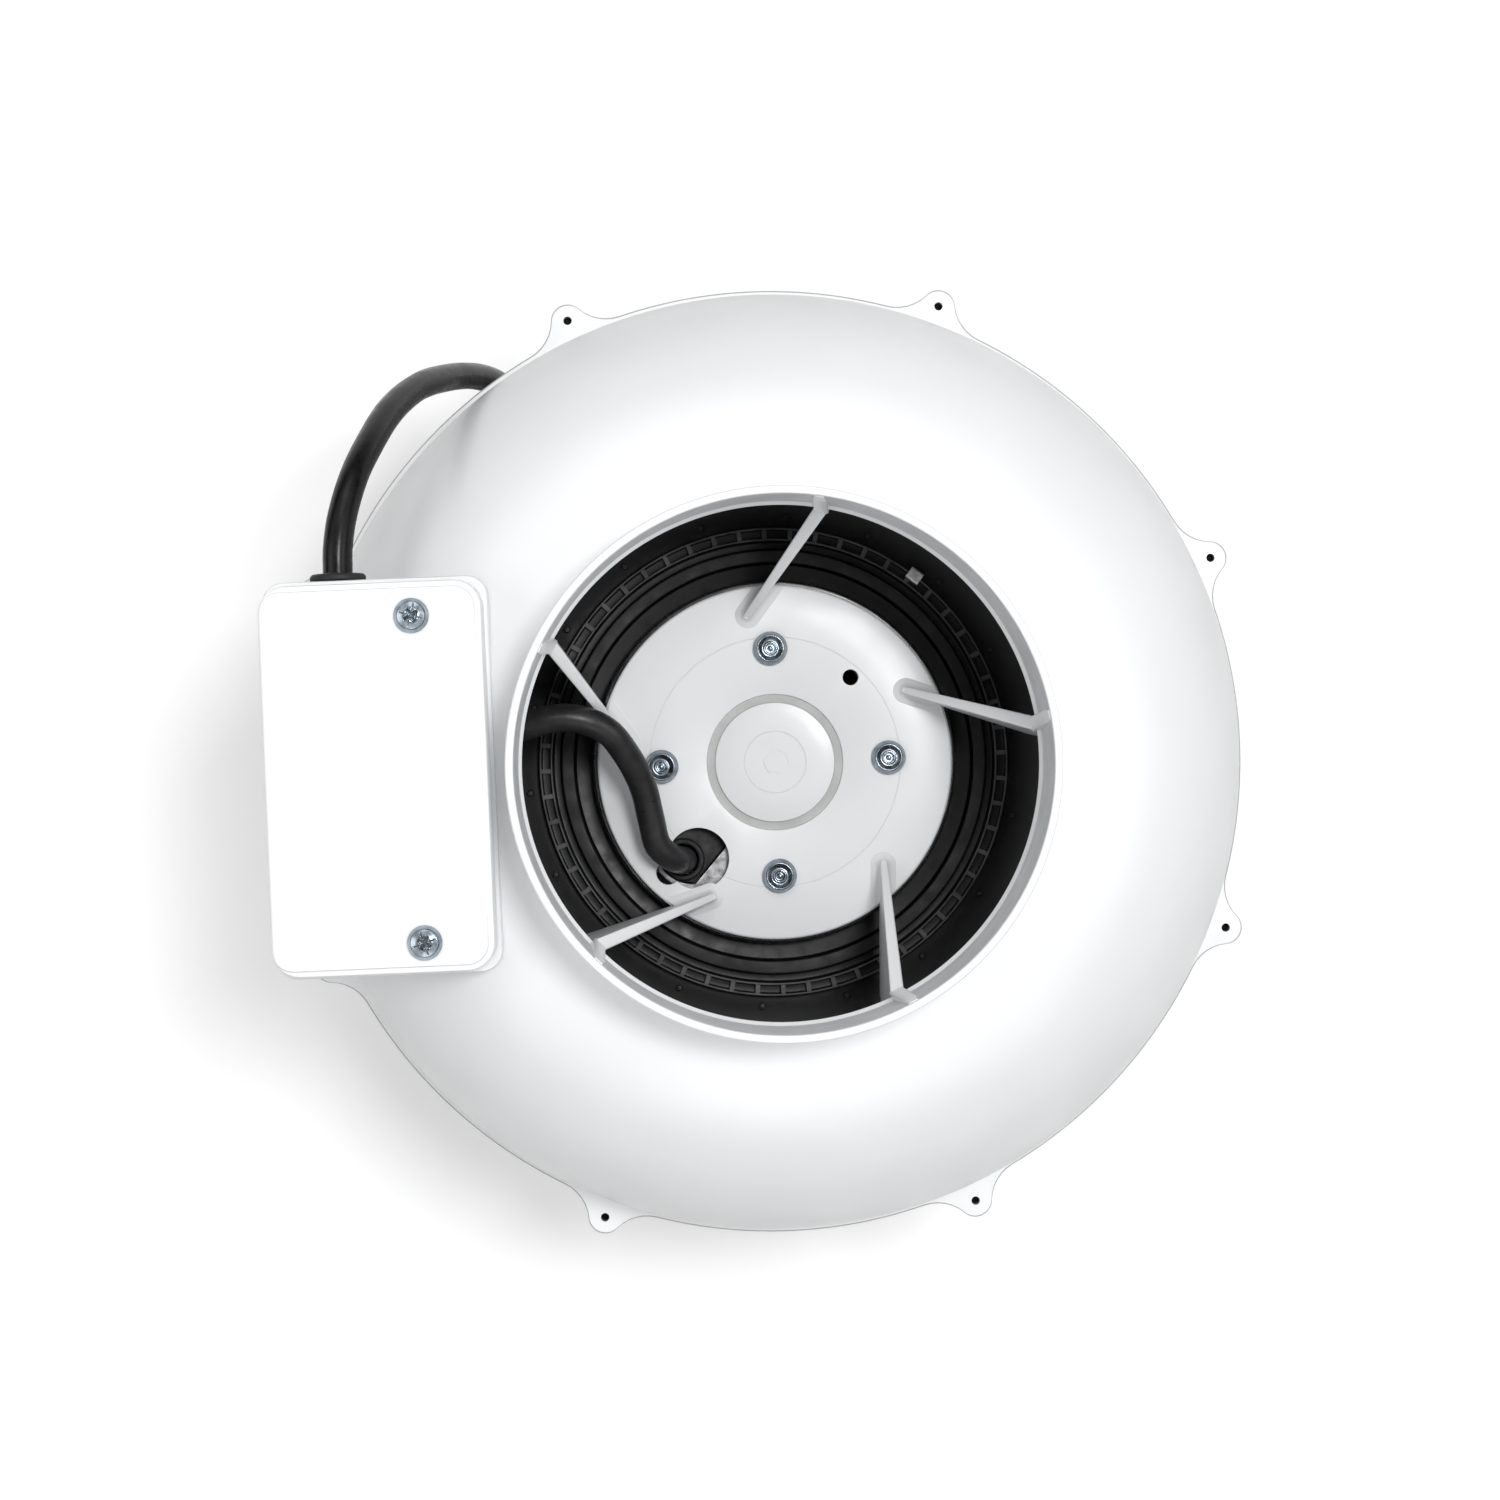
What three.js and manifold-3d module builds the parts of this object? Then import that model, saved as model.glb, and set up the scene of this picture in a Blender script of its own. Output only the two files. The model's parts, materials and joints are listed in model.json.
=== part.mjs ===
// Inline duct fan: a mixed-flow fan in a two-part domed casing, with its terminal box and power lead.
// Millimetres, +Z up. The origin is on the duct axis in the plane of the inlet spigot's rim, on which
// the fan stands. +Z points to the outlet and the terminal box is on the -X side.

import * as THREE from 'three';
import { ConvexGeometry } from 'three/addons/geometries/ConvexGeometry.js';
import { mergeVertices } from 'three/addons/utils/BufferGeometryUtils.js';
import Module from 'manifold-3d';

const wasm = await Module();
wasm.setup();

// ---- driving dimensions ----

const gap = 0.3; // between neighbouring pieces

const height = 210;
const spigotR = 62;
const spigotBoreR = 60.1;
const spigotLength = 27;
const partingZ = 103;
const domeReach = 58; // how far the dome stands out from the spigot
const wall = 2.5;
const shellSides = 40;

const flangeR = 122;
const flangeThickness = 3;
const earCount = 8;
const earAngle = 22.5;
const earR = 125.7;
const earLobeR = 4.3;
const earFilletR = 11;

const plateR = 44.2;
const plateTop = 134;
const plateBottom = 131;
const vaneCount = 5;
const vaneRoot = { r: 37, angle: 26.4 };
const vaneTip = { r: 60, angle: 6.5 };
const ribLean = 1.7; // degrees round the axis, from the vane's tip up to the spigot's rim
const ridgeLow = 136;
const ridgeHigh = 182.5;

const motorScrewR = 28.3;
const spareHoleAngle = 45.9;
const cableHole = { x: -20.1, y: -23.2, r: 7.7 };
const cableHoleLobe = { x: -27.7, y: -26.4, r: 3 };
const motorPort = { x: -21.5, y: -20.5, r: 9.2, flat: 6.5, facing: -42 };
const portBore = { x: -23.9, y: -23.5, r: 3.9 };

const tubeR = 14;
const bearingSeatR = 11.3;
const bearingWidth = 7;
const upperBearingZ = 114;
const lowerBearingZ = 76;
const bearing = { outer: 11, outerRace: 9.8, innerRace: 5.2, bore: 4.3, ballR: 1.98, pitchR: 7.5, balls: 7 };
const shaftR = 4;
const stator = { bore: 14.3, r: 34, bottom: 84, top: 106, teeth: 12 };
const bellR = 45.6;
const bellBoreR = 42.6;

const impellerR = 95;
const impellerSides = 30;
const bladeCount = 11;
const bladeThickness = 2;

const box = {
  left: -118, right: -66, front: -45.1, back: 46.4, bottom: 140, top: 184,
  wall: 2.2, rimWidth: 4.9, rimBottom: 181.5,
};
const lid = {
  left: -117.3, right: -66.8, front: -43.9, back: 44.9, bottom: 185.6, top: 196,
  corner: 6.3, step: 1.4, stepDrop: 1.3,
};
const lidScrewX = -82.5;
const lidScrewY = 37;
const boxScrew = { x: -74, y: 24 };
const wallGrommet = { y: 5, z: 155 };
const gland = { x: -101.2, z: 176 };

const cableR = 3.4;
const leadR = 3.5;
const hank = { x: -92.5, bendR: 21.5, straight: 48.5, bottom: 1.5, top: 22.5 };
const plug = { y: -98, z: 8, back: 3, front: 43, width: 36, thickness: 16 };

// ---- materials ----

function material(color, roughness, metalness) {
  return new THREE.MeshStandardMaterial({ color, roughness, metalness });
}

const whitePlastic = material(0xe9ebec, 0.42, 0);
const blackPlastic = material(0x17181a, 0.5, 0);
const blackCable = material(0x2c2a2e, 0.55, 0);
const blackRubber = material(0x1d1d1f, 0.7, 0);
const blackPaint = material(0x121214, 0.35, 0.2);
const castAluminium = material(0xb4b6b8, 0.45, 1);
const zincSteel = material(0x9aa6b4, 0.35, 1);
const steel = material(0xa8aaad, 0.3, 1);
const lamination = material(0x6e7074, 0.5, 1);
const copper = material(0xa8602c, 0.4, 0.8);
const capacitorCase = material(0xd8d8d4, 0.5, 0);
const greyPlastic = material(0xbfc2c4, 0.5, 0);
const brassPlate = material(0xc9b27a, 0.3, 1);

// ---- shape helpers ----

const radians = THREE.MathUtils.degToRad;

function polar(r, angle) {
  return [r * Math.cos(radians(angle)), r * Math.sin(radians(angle))];
}

function arc(x, y, r, from, to, steps) {
  const points = [];
  for (let i = 0; i <= steps; i += 1) {
    const [dx, dy] = polar(r, from + ((to - from) * i) / steps);
    points.push([x + dx, y + dy]);
  }
  return points;
}

function circle(x, y, r, sides) {
  return arc(x, y, r, 0, 360 - 360 / sides, sides - 1);
}

function vectors(points) {
  return points.map(([x, y]) => new THREE.Vector2(x, y));
}

// A profile of [radius, height] points, anticlockwise, turned about the Z axis.
function revolve(profile, sides) {
  const points = vectors(profile);
  if (profile[0][0] > 0) {
    points.push(points[0].clone());
  }
  return new THREE.LatheGeometry(points, sides).rotateX(Math.PI / 2);
}

function prism(outline, bottom, top, holes = []) {
  const shape = new THREE.Shape(vectors(outline));
  for (const hole of holes) {
    shape.holes.push(new THREE.Path(vectors(hole)));
  }
  const settings = { depth: top - bottom, bevelEnabled: false, steps: 1 };
  return new THREE.ExtrudeGeometry(shape, settings).translate(0, 0, bottom);
}

function post(x, y, r, bottom, top, sides) {
  return prism(circle(x, y, r, sides), bottom, top);
}

function block(left, right, front, back, bottom, top) {
  const size = new THREE.BoxGeometry(right - left, back - front, top - bottom);
  return size.translate((left + right) / 2, (front + back) / 2, (bottom + top) / 2);
}

// A rounded block inside four edges, moved in from them by inset.
function insetBlock(edges, inset, bottom, top, r) {
  const left = edges.left + inset;
  const right = edges.right - inset;
  const front = edges.front + inset;
  const back = edges.back - inset;
  const outline = [
    ...arc(right - r, back - r, r, 0, 90, 3),
    ...arc(left + r, back - r, r, 90, 180, 3),
    ...arc(left + r, front + r, r, 180, 270, 3),
    ...arc(right - r, front + r, r, 270, 360, 3),
  ];
  return prism(outline, bottom, top);
}

// A shape made along +Z, laid along +X or +Y with its base's centre at a point.
function alongX(geometry, x, y, z) {
  return geometry.rotateY(Math.PI / 2).translate(x, y, z);
}

function alongY(geometry, x, y, z) {
  return geometry.rotateX(-Math.PI / 2).translate(x, y, z);
}

function hull(points) {
  return new ConvexGeometry(points.map((p) => new THREE.Vector3(...p)));
}

function smoothCurve(points) {
  return new THREE.CatmullRomCurve3(points.map((p) => new THREE.Vector3(...p)));
}

function tube(points, r, sides, step) {
  const route = smoothCurve(points);
  const section = new THREE.Shape(vectors(circle(0, 0, r, sides)));
  const steps = Math.ceil(route.getLength() / step);
  return new THREE.ExtrudeGeometry(section, { extrudePath: route, steps, bevelEnabled: false });
}

// ---- joining and cutting ----

function solid(geometry) {
  const bare = geometry.clone();
  bare.deleteAttribute('normal');
  bare.deleteAttribute('uv');
  const merged = mergeVertices(bare);
  const index = merged.index.array;
  const triangles = [];
  for (let i = 0; i < index.length; i += 3) {
    const [a, b, c] = index.slice(i, i + 3);
    if (a !== b && b !== c && c !== a) {
      triangles.push(a, b, c);
    }
  }
  return new wasm.Manifold(new wasm.Mesh({
    numProp: 3,
    vertProperties: new Float32Array(merged.attributes.position.array),
    triVerts: new Uint32Array(triangles),
  }));
}

function join(...geometries) {
  return geometries.map(solid).reduce((whole, piece) => whole.add(piece));
}

function cut(shape, ...geometries) {
  return geometries.map(solid).reduce((rest, piece) => rest.subtract(piece), shape);
}

function geometryOf(shape) {
  const mesh = shape.getMesh();
  const geometry = new THREE.BufferGeometry();
  geometry.setAttribute('position', new THREE.BufferAttribute(mesh.vertProperties, 3));
  geometry.setIndex(new THREE.BufferAttribute(mesh.triVerts, 1));
  geometry.computeVertexNormals();
  return geometry;
}

const fan = new THREE.Group();

function addPart(name, finish, shape) {
  const whole = shape.isBufferGeometry ? solid(shape) : shape;
  const mesh = new THREE.Mesh(geometryOf(whole), finish);
  mesh.name = name;
  fan.add(mesh);
}

// ---- casing ----

// A quarter ellipse from the parting plane to the spigot, moved in by inset. side is 1 for the outlet
// half and -1 for the inlet half.
function domeCurve(inset, side, steps) {
  const base = partingZ + (side * gap) / 2;
  const crown = side > 0 ? height - spigotLength : spigotLength;
  const rise = crown - side * inset - base;
  return arc(0, 0, 1, 0, 86, steps).map(([x, y]) => [spigotR + (domeReach - inset) * x, base + rise * y]);
}

// The flange ring with its screw ears: each ear is a lobe with a concave blend on both flanks.
function flangeOutline() {
  const blendR = flangeR + earFilletR;
  const reach = earLobeR + earFilletR;
  const cosine = (earR ** 2 + blendR ** 2 - reach ** 2) / (2 * earR * blendR);
  const spread = THREE.MathUtils.radToDeg(Math.acos(cosine));
  const outline = [];
  for (let i = 0; i < earCount; i += 1) {
    const angle = earAngle + (i * 360) / earCount;
    const [ex, ey] = polar(earR, angle);
    const before = polar(blendR, angle - spread);
    const after = polar(blendR, angle + spread);
    const lean = THREE.MathUtils.radToDeg(Math.atan2(after[1] - ey, after[0] - ex)) - angle;
    const turn = (lean + 720) % 360;
    outline.push(
      ...arc(...before, earFilletR, angle - spread + 180, angle - turn + 180, 2),
      ...arc(ex, ey, earLobeR, angle - turn, angle + turn, 6),
      ...arc(...after, earFilletR, angle + turn + 180, angle + spread + 180, 2),
      ...arc(0, 0, flangeR, angle + spread, angle + 360 / earCount - spread, 4).slice(1, -1),
    );
  }
  return outline;
}

function flange(bottom, top, holeR) {
  const buried = spigotR + domeReach - 1.6; // inside the dome's wall
  const holes = [circle(0, 0, buried, 24)];
  for (let i = 0; i < earCount; i += 1) {
    holes.push(circle(...polar(earR, earAngle + (i * 360) / earCount), holeR, 8));
  }
  return prism(flangeOutline(), bottom, top, holes);
}

// One vane: a web from the motor plate out to the dome, a cap along its sloping ridge, and the rib
// that carries it up the inside of the spigot, leaning a little.
function vane(turn) {
  const [x0, y0] = polar(vaneRoot.r, vaneRoot.angle);
  const [x1, y1] = polar(vaneTip.r, vaneTip.angle);
  const run = Math.hypot(x1 - x0, y1 - y0);
  const lean = Math.atan2(y1 - y0, x1 - x0);
  const sideView = [
    [-1, 131.6], [33, 131.6], [44, 179.5], [34, 181.2], [run + 0.8, ridgeHigh - 0.8], [-1, ridgeLow - 0.8],
  ];
  const web = prism(sideView, -0.9, 0.9).rotateX(Math.PI / 2);
  const cap = hull([
    [-1, -0.75, ridgeLow - 2], [-1, 0.75, ridgeLow - 2], [-1, -0.75, ridgeLow], [-1, 0.75, ridgeLow],
    [run + 0.8, -1.5, ridgeHigh - 2.4], [run + 0.8, 1.5, ridgeHigh - 2.4],
    [run + 0.8, -1.5, ridgeHigh], [run + 0.8, 1.5, ridgeHigh],
  ]);
  for (const piece of [web, cap]) {
    piece.rotateZ(lean).translate(x0, y0, 0);
  }
  const rib = hull([[ridgeHigh - 1.5, 0, 58.9], [height - 1.5, ribLean, 59.5]].flatMap(([z, lean, front]) => (
    [[front, -1.7], [front, 1.7], [61, 1.8], [61, -1.8]].map(([r, offset]) => {
      const [x, y] = polar(r, vaneTip.angle + lean + THREE.MathUtils.radToDeg(offset / r));
      return [x, y, z];
    })
  )));
  return [web, cap, rib].map((piece) => piece.rotateZ(radians(turn)));
}

function outletCasing() {
  const shell = revolve([
    ...domeCurve(0, 1, 6),
    [63, 183.6], [spigotR, 185], [spigotR, height], [spigotBoreR, height],
    [spigotBoreR, 184], [spigotBoreR - 0.4, 182.7],
    ...domeCurve(wall, 1, 4).reverse(),
  ], shellSides);
  const ring = flange(partingZ + gap / 2, partingZ + flangeThickness, 1.1);
  const plate = prism(circle(0, 0, plateR, 40), plateBottom, plateTop);
  const groove = revolve([[14.8, 133.2], [17, 133.2], [17, 135], [14.8, 135]], 24);
  const holes = [
    post(cableHole.x, cableHole.y, cableHole.r, 130, 135, 20),
    post(cableHoleLobe.x, cableHoleLobe.y, cableHoleLobe.r, 130, 135, 10),
    post(...polar(motorScrewR, spareHoleAngle), 2, 130, 135, 10),
    alongX(post(0, 0, 5.6, -10, 10, 16), -102, wallGrommet.y, wallGrommet.z),
  ];
  for (let i = 0; i < 4; i += 1) {
    holes.push(post(...polar(motorScrewR, i * 90), 2.3, 130, 135, 10));
  }
  for (const y of [-boxScrew.y, boxScrew.y]) {
    holes.push(post(boxScrew.x, y, 1.7, 170, 190, 8));
  }
  const vanes = [];
  for (let i = 0; i < vaneCount; i += 1) {
    vanes.push(...vane((i * 360) / vaneCount));
  }
  return cut(join(shell, ring, plate, ...vanes), groove, ...holes);
}

function inletCasing() {
  const top = partingZ - gap / 2;
  const lipTop = partingZ + 2.5;
  const shell = revolve([
    [spigotBoreR, 0], [spigotR, 0], [spigotR, 25], [63, 26.4],
    ...domeCurve(0, -1, 6).reverse(),
    [116.7, top], [116.7, lipTop], [115.1, lipTop], [115.1, 98],
    ...domeCurve(wall, -1, 4).slice(1),
    [spigotBoreR, 27.6],
  ], shellSides);
  return join(shell, flange(partingZ - flangeThickness, top, 1.75));
}

function inletNozzle() {
  return revolve([
    [60.3, 32.8], [73, 32.8], [73, 34.6], [62, 34.6], [55.6, 40], [52, 48.5], [52, 56],
    [50.5, 56], [50.5, 48], [54.2, 39],
  ], impellerSides);
}

function flangeScrew(angle) {
  const [x, y] = polar(earR, angle);
  const profile = [
    [0, 97], [2.6, 97], [3.2, 99.7], [1.45, 99.7], [1.45, 102.9], [0.8, 102.9], [0.8, 103.6], [0, 103.6],
  ];
  return revolve(profile, 8).translate(x, y, 0);
}

// A flanged head with a dished face on a plain shank.
function motorScrew(angle) {
  const [x, y] = polar(motorScrewR, angle);
  const seat = plateTop + gap;
  return revolve([
    [0, 124], [2, 124], [2, seat], [4.25, seat], [4.25, seat + 0.9], [3.1, seat + 1.3], [2.9, seat + 2.2],
    [2, seat + 2.6], [1.4, seat + 1.2], [0, seat + 1.2],
  ], 10).translate(x, y, 0);
}

// ---- motor ----

function portOutline(inset) {
  const r = motorPort.r - inset;
  const spread = THREE.MathUtils.radToDeg(Math.acos((motorPort.flat - inset) / r));
  const from = motorPort.facing + spread;
  return arc(motorPort.x, motorPort.y, r, from, motorPort.facing + 360 - spread, 14);
}

function motorFlange() {
  const body = revolve([
    [bearingSeatR, 74], [tubeR, 74], [tubeR, 122.5], [16, 124.5], [40, 124.5], [40, 130.7],
    [bearingSeatR, 130.7], [bearingSeatR, 113.7], [9.6, 113.7], [9.6, 84.3], [bearingSeatR, 84.3],
  ], 28);
  const spareHole = post(...polar(motorScrewR, spareHoleAngle), 2, 120, 132, 10);
  const holes = [prism(portOutline(0), 120, 132), spareHole];
  for (let i = 0; i < 4; i += 1) {
    holes.push(post(...polar(motorScrewR, i * 90), 2.3, 120, 132, 10));
  }
  return cut(solid(body), ...holes);
}

function portBoot() {
  return prism(portOutline(gap), 124.8, 129.8, [circle(portBore.x, portBore.y, portBore.r, 14)]);
}

function statorCore() {
  const pitch = 360 / stator.teeth;
  const outline = [];
  for (let i = 0; i < stator.teeth; i += 1) {
    const angle = i * pitch;
    outline.push(
      polar(19, angle - pitch / 2), polar(20, angle - 9), polar(31, angle - 6), polar(32.5, angle - 12.5),
      ...arc(0, 0, stator.r, angle - 12.5, angle + 12.5, 3), polar(32.5, angle + 12.5), polar(31, angle + 6),
      polar(20, angle + 9),
    );
  }
  return prism(outline, stator.bottom, stator.top, [circle(0, 0, stator.bore, 24)]);
}

function winding(bottom, top) {
  const middle = (bottom + top) / 2;
  return revolve([
    [18, bottom], [30, bottom], [32, middle - 1.5], [32, middle + 1.5], [30, top], [18, top], [17, middle],
  ], 24);
}

function bearingRing(inner, outer, bottom) {
  const top = bottom + bearingWidth;
  return revolve([[inner, bottom], [outer, bottom], [outer, top], [inner, top]], 20);
}

function ballCage(bottom) {
  const middle = bottom + bearingWidth / 2;
  const ring = revolve([[7, middle - 0.8], [8, middle - 0.8], [8, middle + 0.8], [7, middle + 0.8]], 14);
  const balls = [];
  for (let i = 0; i < bearing.balls; i += 1) {
    const [x, y] = polar(bearing.pitchR, (i * 360) / bearing.balls);
    balls.push(new THREE.IcosahedronGeometry(bearing.ballR).translate(x, y, middle));
  }
  return join(ring, ...balls);
}

function shaft() {
  return revolve([
    [0, 58], [3.4, 58], [shaftR, 58.6], [shaftR, 121.2], [3.3, 121.2], [3.3, 122.4], [shaftR, 122.4],
    [3.6, 123], [0, 123],
  ], 20);
}

function circlip() {
  const outline = [...arc(0, 0, 5.8, 25, 335, 12), ...arc(0, 0, 3.7, 335, 25, 12)];
  return prism(outline, 121.5, 122.1);
}

function rotorBell() {
  return revolve([
    [4.3, 61], [42, 61], [bellR, 64.5], [bellR, 123.5], [bellR + 0.2, 124], [bellR + 0.2, 126],
    [bellBoreR, 126], [bellBoreR, 66], [40.5, 64], [10, 64], [10, 73], [4.3, 73],
  ], impellerSides);
}

function rotorCore() {
  return revolve([[34.6, 82], [bellBoreR - gap, 82], [bellBoreR - gap, 108], [34.6, 108]], impellerSides);
}

// ---- impeller ----

// The face that guides the air, from the mouth of the shroud out to its rim.
const shroudFace = [
  [53, 48], [53, 56], [55, 62], [61, 67], [74, 70.4], [impellerR, 72],
];

function blades() {
  const pieces = [];
  for (let i = 0; i < bladeCount; i += 1) {
    const swept = [];
    for (let j = 0; j <= 5; j += 1) {
      const share = j / 5;
      swept.push({ r: 57 + (impellerR - 57.5) * share, angle: -32 * share ** 1.3 });
    }
    const half = bladeThickness / 2;
    const front = swept.map(({ r, angle }) => polar(r, angle + THREE.MathUtils.radToDeg(half / r)));
    const rear = swept.map(({ r, angle }) => polar(r, angle - THREE.MathUtils.radToDeg(half / r)));
    const outline = [...rear, ...front.reverse()];
    pieces.push(prism(outline, 52, 118.5).rotateZ(radians((i * 360) / bladeCount)));
  }
  const passage = revolve([
    ...shroudFace.slice(2).map(([r, z]) => [r, z + gap]),
    [impellerR, 119], [54.4, 119],
  ], impellerSides);
  return join(...pieces).intersect(solid(passage));
}

function impeller() {
  const body = revolve([
    [45.9, 72], [48, 72], [48, 118], [impellerR, 118], [impellerR, 119.6], [68, 119.8], [62, 121],
    [59.4, 121], [59.2, 124],
    [58.7, 124], [58.5, 122], [56.6, 122], [56.4, 124], [55.9, 124], [55.7, 121], [53.7, 121],
    [53.5, 124], [50.4, 124], [50.2, 121], [45.9, 120.5],
  ], impellerSides);
  return solid(body).add(blades());
}

function impellerShroud() {
  const back = [[impellerR, 70], [74.4, 68.4], [62, 65.2], [57, 61], [55, 55.4], [55, 48]];
  return revolve([...shroudFace, ...back].reverse(), impellerSides);
}

// A U-shaped spring clip pushed down over the outer wall of the balancing pockets.
function balanceClip() {
  const sideView = [
    [57.3, 122.6], [57.9, 122.6], [57.9, 124.4], [60, 124.4], [60, 122.6], [60.6, 122.6], [60.6, 125],
    [57.3, 125],
  ];
  return prism(sideView, -1.8, 1.8).rotateX(Math.PI / 2).rotateZ(radians(50.5));
}

// ---- terminal box ----

// The casing's outer surface grown by clearance, as a solid to cut with.
function domeSolid(clearance) {
  return revolve([
    [0, 90], [spigotR + domeReach + clearance, 90],
    ...domeCurve(-clearance, 1, 6),
    [spigotR, height - spigotLength + clearance + 0.4], [0, height - spigotLength + clearance + 0.4],
  ], shellSides);
}

function boxBase() {
  const { bottom, top } = box;
  const outer = insetBlock(box, 0, bottom, top, 5);
  const room = insetBlock(box, box.wall, bottom + box.wall, box.rimBottom, 3);
  const mouth = insetBlock(box, box.rimWidth, box.rimBottom - 1, top + 5, 2);
  const hollow = cut(join(room, mouth), domeSolid(wall));
  const terminalPad = solid(block(-95, -81, 9, 29, 150, 181.7));
  const bosses = [-lidScrewY, lidScrewY].map((y) => solid(post(lidScrewX, y, 4, 160, top, 12)));
  const tray = solid(outer).subtract(hollow);
  const shell = [terminalPad, ...bosses].reduce((whole, piece) => whole.add(piece), tray);
  const holes = [
    domeSolid(gap),
    alongX(post(0, 0, 8.5, -10, 9, 16), -105, wallGrommet.y, wallGrommet.z),
    alongY(post(0, 0, 5.5, 42, 48, 16), gland.x, 0, gland.z),
  ];
  for (const y of [-lidScrewY, lidScrewY]) {
    holes.push(post(lidScrewX, y, 2.1, 174, top + 1, 8));
  }
  for (const y of [-boxScrew.y, boxScrew.y]) {
    holes.push(post(boxScrew.x, y, 1.7, 170, 190, 8));
  }
  return cut(shell, ...holes);
}

// It lies on the base's rim, inside the lid's edge.
function boxSeal() {
  const outer = insetBlock(lid, 0.25, 184.3, 185.3, lid.corner - 0.25);
  const inner = insetBlock(lid, 1.95, 183, 187, lid.corner - 1.95);
  return cut(solid(outer), inner);
}

// The face stands a step above the rim, but is flush with the outer side.
function boxLid() {
  const { bottom, top, corner, step, stepDrop } = lid;
  const skirt = insetBlock(lid, 0, bottom, top - stepDrop, corner);
  const face = insetBlock({ ...lid, left: lid.left - step }, step, top - 2, top, corner - step);
  const inner = insetBlock(lid, box.wall, bottom - 1, top - box.wall, corner - box.wall);
  const bosses = [-lidScrewY, lidScrewY].map((y) => solid(post(lidScrewX, y, 4, bottom, top - 1, 12)));
  const hollow = cut(join(skirt, face), inner);
  const body = bosses.reduce((whole, piece) => whole.add(piece), hollow);
  return cut(body, ...[-lidScrewY, lidScrewY].map((y) => post(lidScrewX, y, 2.1, bottom - 1, top + 1, 8)));
}

function lidScrew(y) {
  const seat = lid.top + gap;
  return revolve([
    [0, 177], [1.2, 177], [1.8, 178.5], [1.8, seat], [4, seat], [4, seat + 1], [3.4, seat + 1.9],
    [1.6, seat + 2.2], [1.2, seat + 1], [0, seat + 1],
  ], 12).translate(lidScrewX, y, 0);
}

function boxScrewAt(y) {
  return revolve([
    [0, 174], [1.4, 174.6], [1.4, 183.9], [3, 183.9], [3, 184.9], [2.2, 185.6], [0, 185.6],
  ], 10).translate(boxScrew.x, y, 0);
}

function capacitor() {
  const canR = 8;
  const length = 34;
  const profile = [[0, 0], [canR - 1, 0], [canR, 1], [canR, length - 1], [canR - 1, length], [0, length]];
  return alongY(revolve(profile, 18), -106, -40, 172);
}

function terminalBlock() {
  const bar = block(-96, -80, 8, 30, 182, 187);
  const rows = [12, 19, 26];
  const poles = rows.map((y) => block(-94.5, -81.5, y - 2.8, y + 2.8, 186, 192.5));
  const screwHoles = rows.flatMap((y) => [-91, -85].map((x) => post(x, y, 1.6, 189, 193, 8)));
  return cut(join(bar, ...poles), ...screwHoles);
}

function casingGrommet() {
  const profile = [
    [3.9, 100], [5.3, 100], [5.3, 110.8], [7.2, 110.8], [7.2, 112.3], [3.9, 112.3],
  ];
  return revolve(profile, 14).rotateY(-Math.PI / 2).translate(0, wallGrommet.y, wallGrommet.z);
}

// The lead's bushing: a thin collar outside the wall, and the strain relief tapering inward behind it.
function cableGland() {
  const profile = [
    [0, 24], [leadR + 0.6, 24], [4.9, 42], [4.9, 44.5], [5.2, 44.5], [5.2, 46.7], [6.5, 46.7],
    [6.5, 47.8], [6, 48.3], [0, 48.3],
  ];
  return alongY(revolve(profile, 14), gland.x, 0, gland.z);
}

// ---- cables ----

const motorCableRoute = [
  [-113.5, 5, 155], [-98, 5, 155], [-85, 6, 155], [-72, 8.4, 155.2], [-61, 11.1, 156.4],
  [-53.9, 12.8, 157.5], [-47.3, 12.5, 157.6], [-40.8, 9.4, 155.6], [-36.4, 3.5, 151.4],
  [-32.9, -4.3, 146.5], [-31.3, -12.3, 143.6], [-29.8, -19.3, 141.8], [-26.6, -22.4, 139.6],
  [-24.1, -23.4, 135], [-23.9, -23.5, 129.5], [-23.9, -23.5, 118.5],
];

const leadRoute = [
  [-101.2, 48.6, 176], [-101, 54, 176], [-100, 61, 174.8], [-97.5, 71, 169.8], [-94.2, 80.2, 160.9],
  [-90.2, 89.8, 147.2], [-84.9, 97.4, 130.2], [-79.1, 101.7, 113], [-74, 103.8, 99], [-69.2, 104, 85],
  [-66.6, 103.2, 68], [-66, 102, 52], [-66.5, 100.5, 37], [-67.8, 95.6, 20.5], [-69.4, 84, 8.8],
  [-70.7, 67, 5],
];

const tailRoute = [
  [-71, -67, 16.3], [-69.6, -73, 12.6], [-66, -79.5, 9], [-59.5, -86.5, 6.6], [-50, -92.5, 5.8],
  [-38, -96.6, 6.8], [-20.8, -98, 8],
];

function hankSolid() {
  const outerR = hank.bendR + leadR + 0.3;
  const outline = [
    ...arc(hank.x, hank.straight, outerR, 0, 180, 12),
    ...arc(hank.x, -hank.straight, outerR, 180, 360, 12),
  ];
  return prism(outline, hank.bottom, hank.top);
}

function cordTie() {
  const reach = hank.bendR + leadR + 0.3;
  const outer = block(hank.x - reach - 1.5, hank.x + reach + 1.5, -4, 4, 0, 24);
  const inner = block(hank.x - reach - gap, hank.x + reach + gap, -5, 5, 1.2, 22.8);
  return cut(solid(outer), inner);
}

function plugBody() {
  const half = plug.width / 2;
  const body = hull([
    ...[-1, 1].flatMap((side) => [0, plug.thickness].flatMap((z) => [
      [plug.back, plug.y + side * (half - 6), z], [plug.back + 5, plug.y + side * half, z],
      [plug.front - 2, plug.y + side * half, z], [plug.front, plug.y + side * (half - 2), z],
    ])),
  ]);
  const relief = revolve([[0, -20], [leadR + 0.8, -20], [7, plug.back + 1], [0, plug.back + 1]], 12);
  return join(body, alongX(relief, 0, plug.y, plug.z));
}

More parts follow.
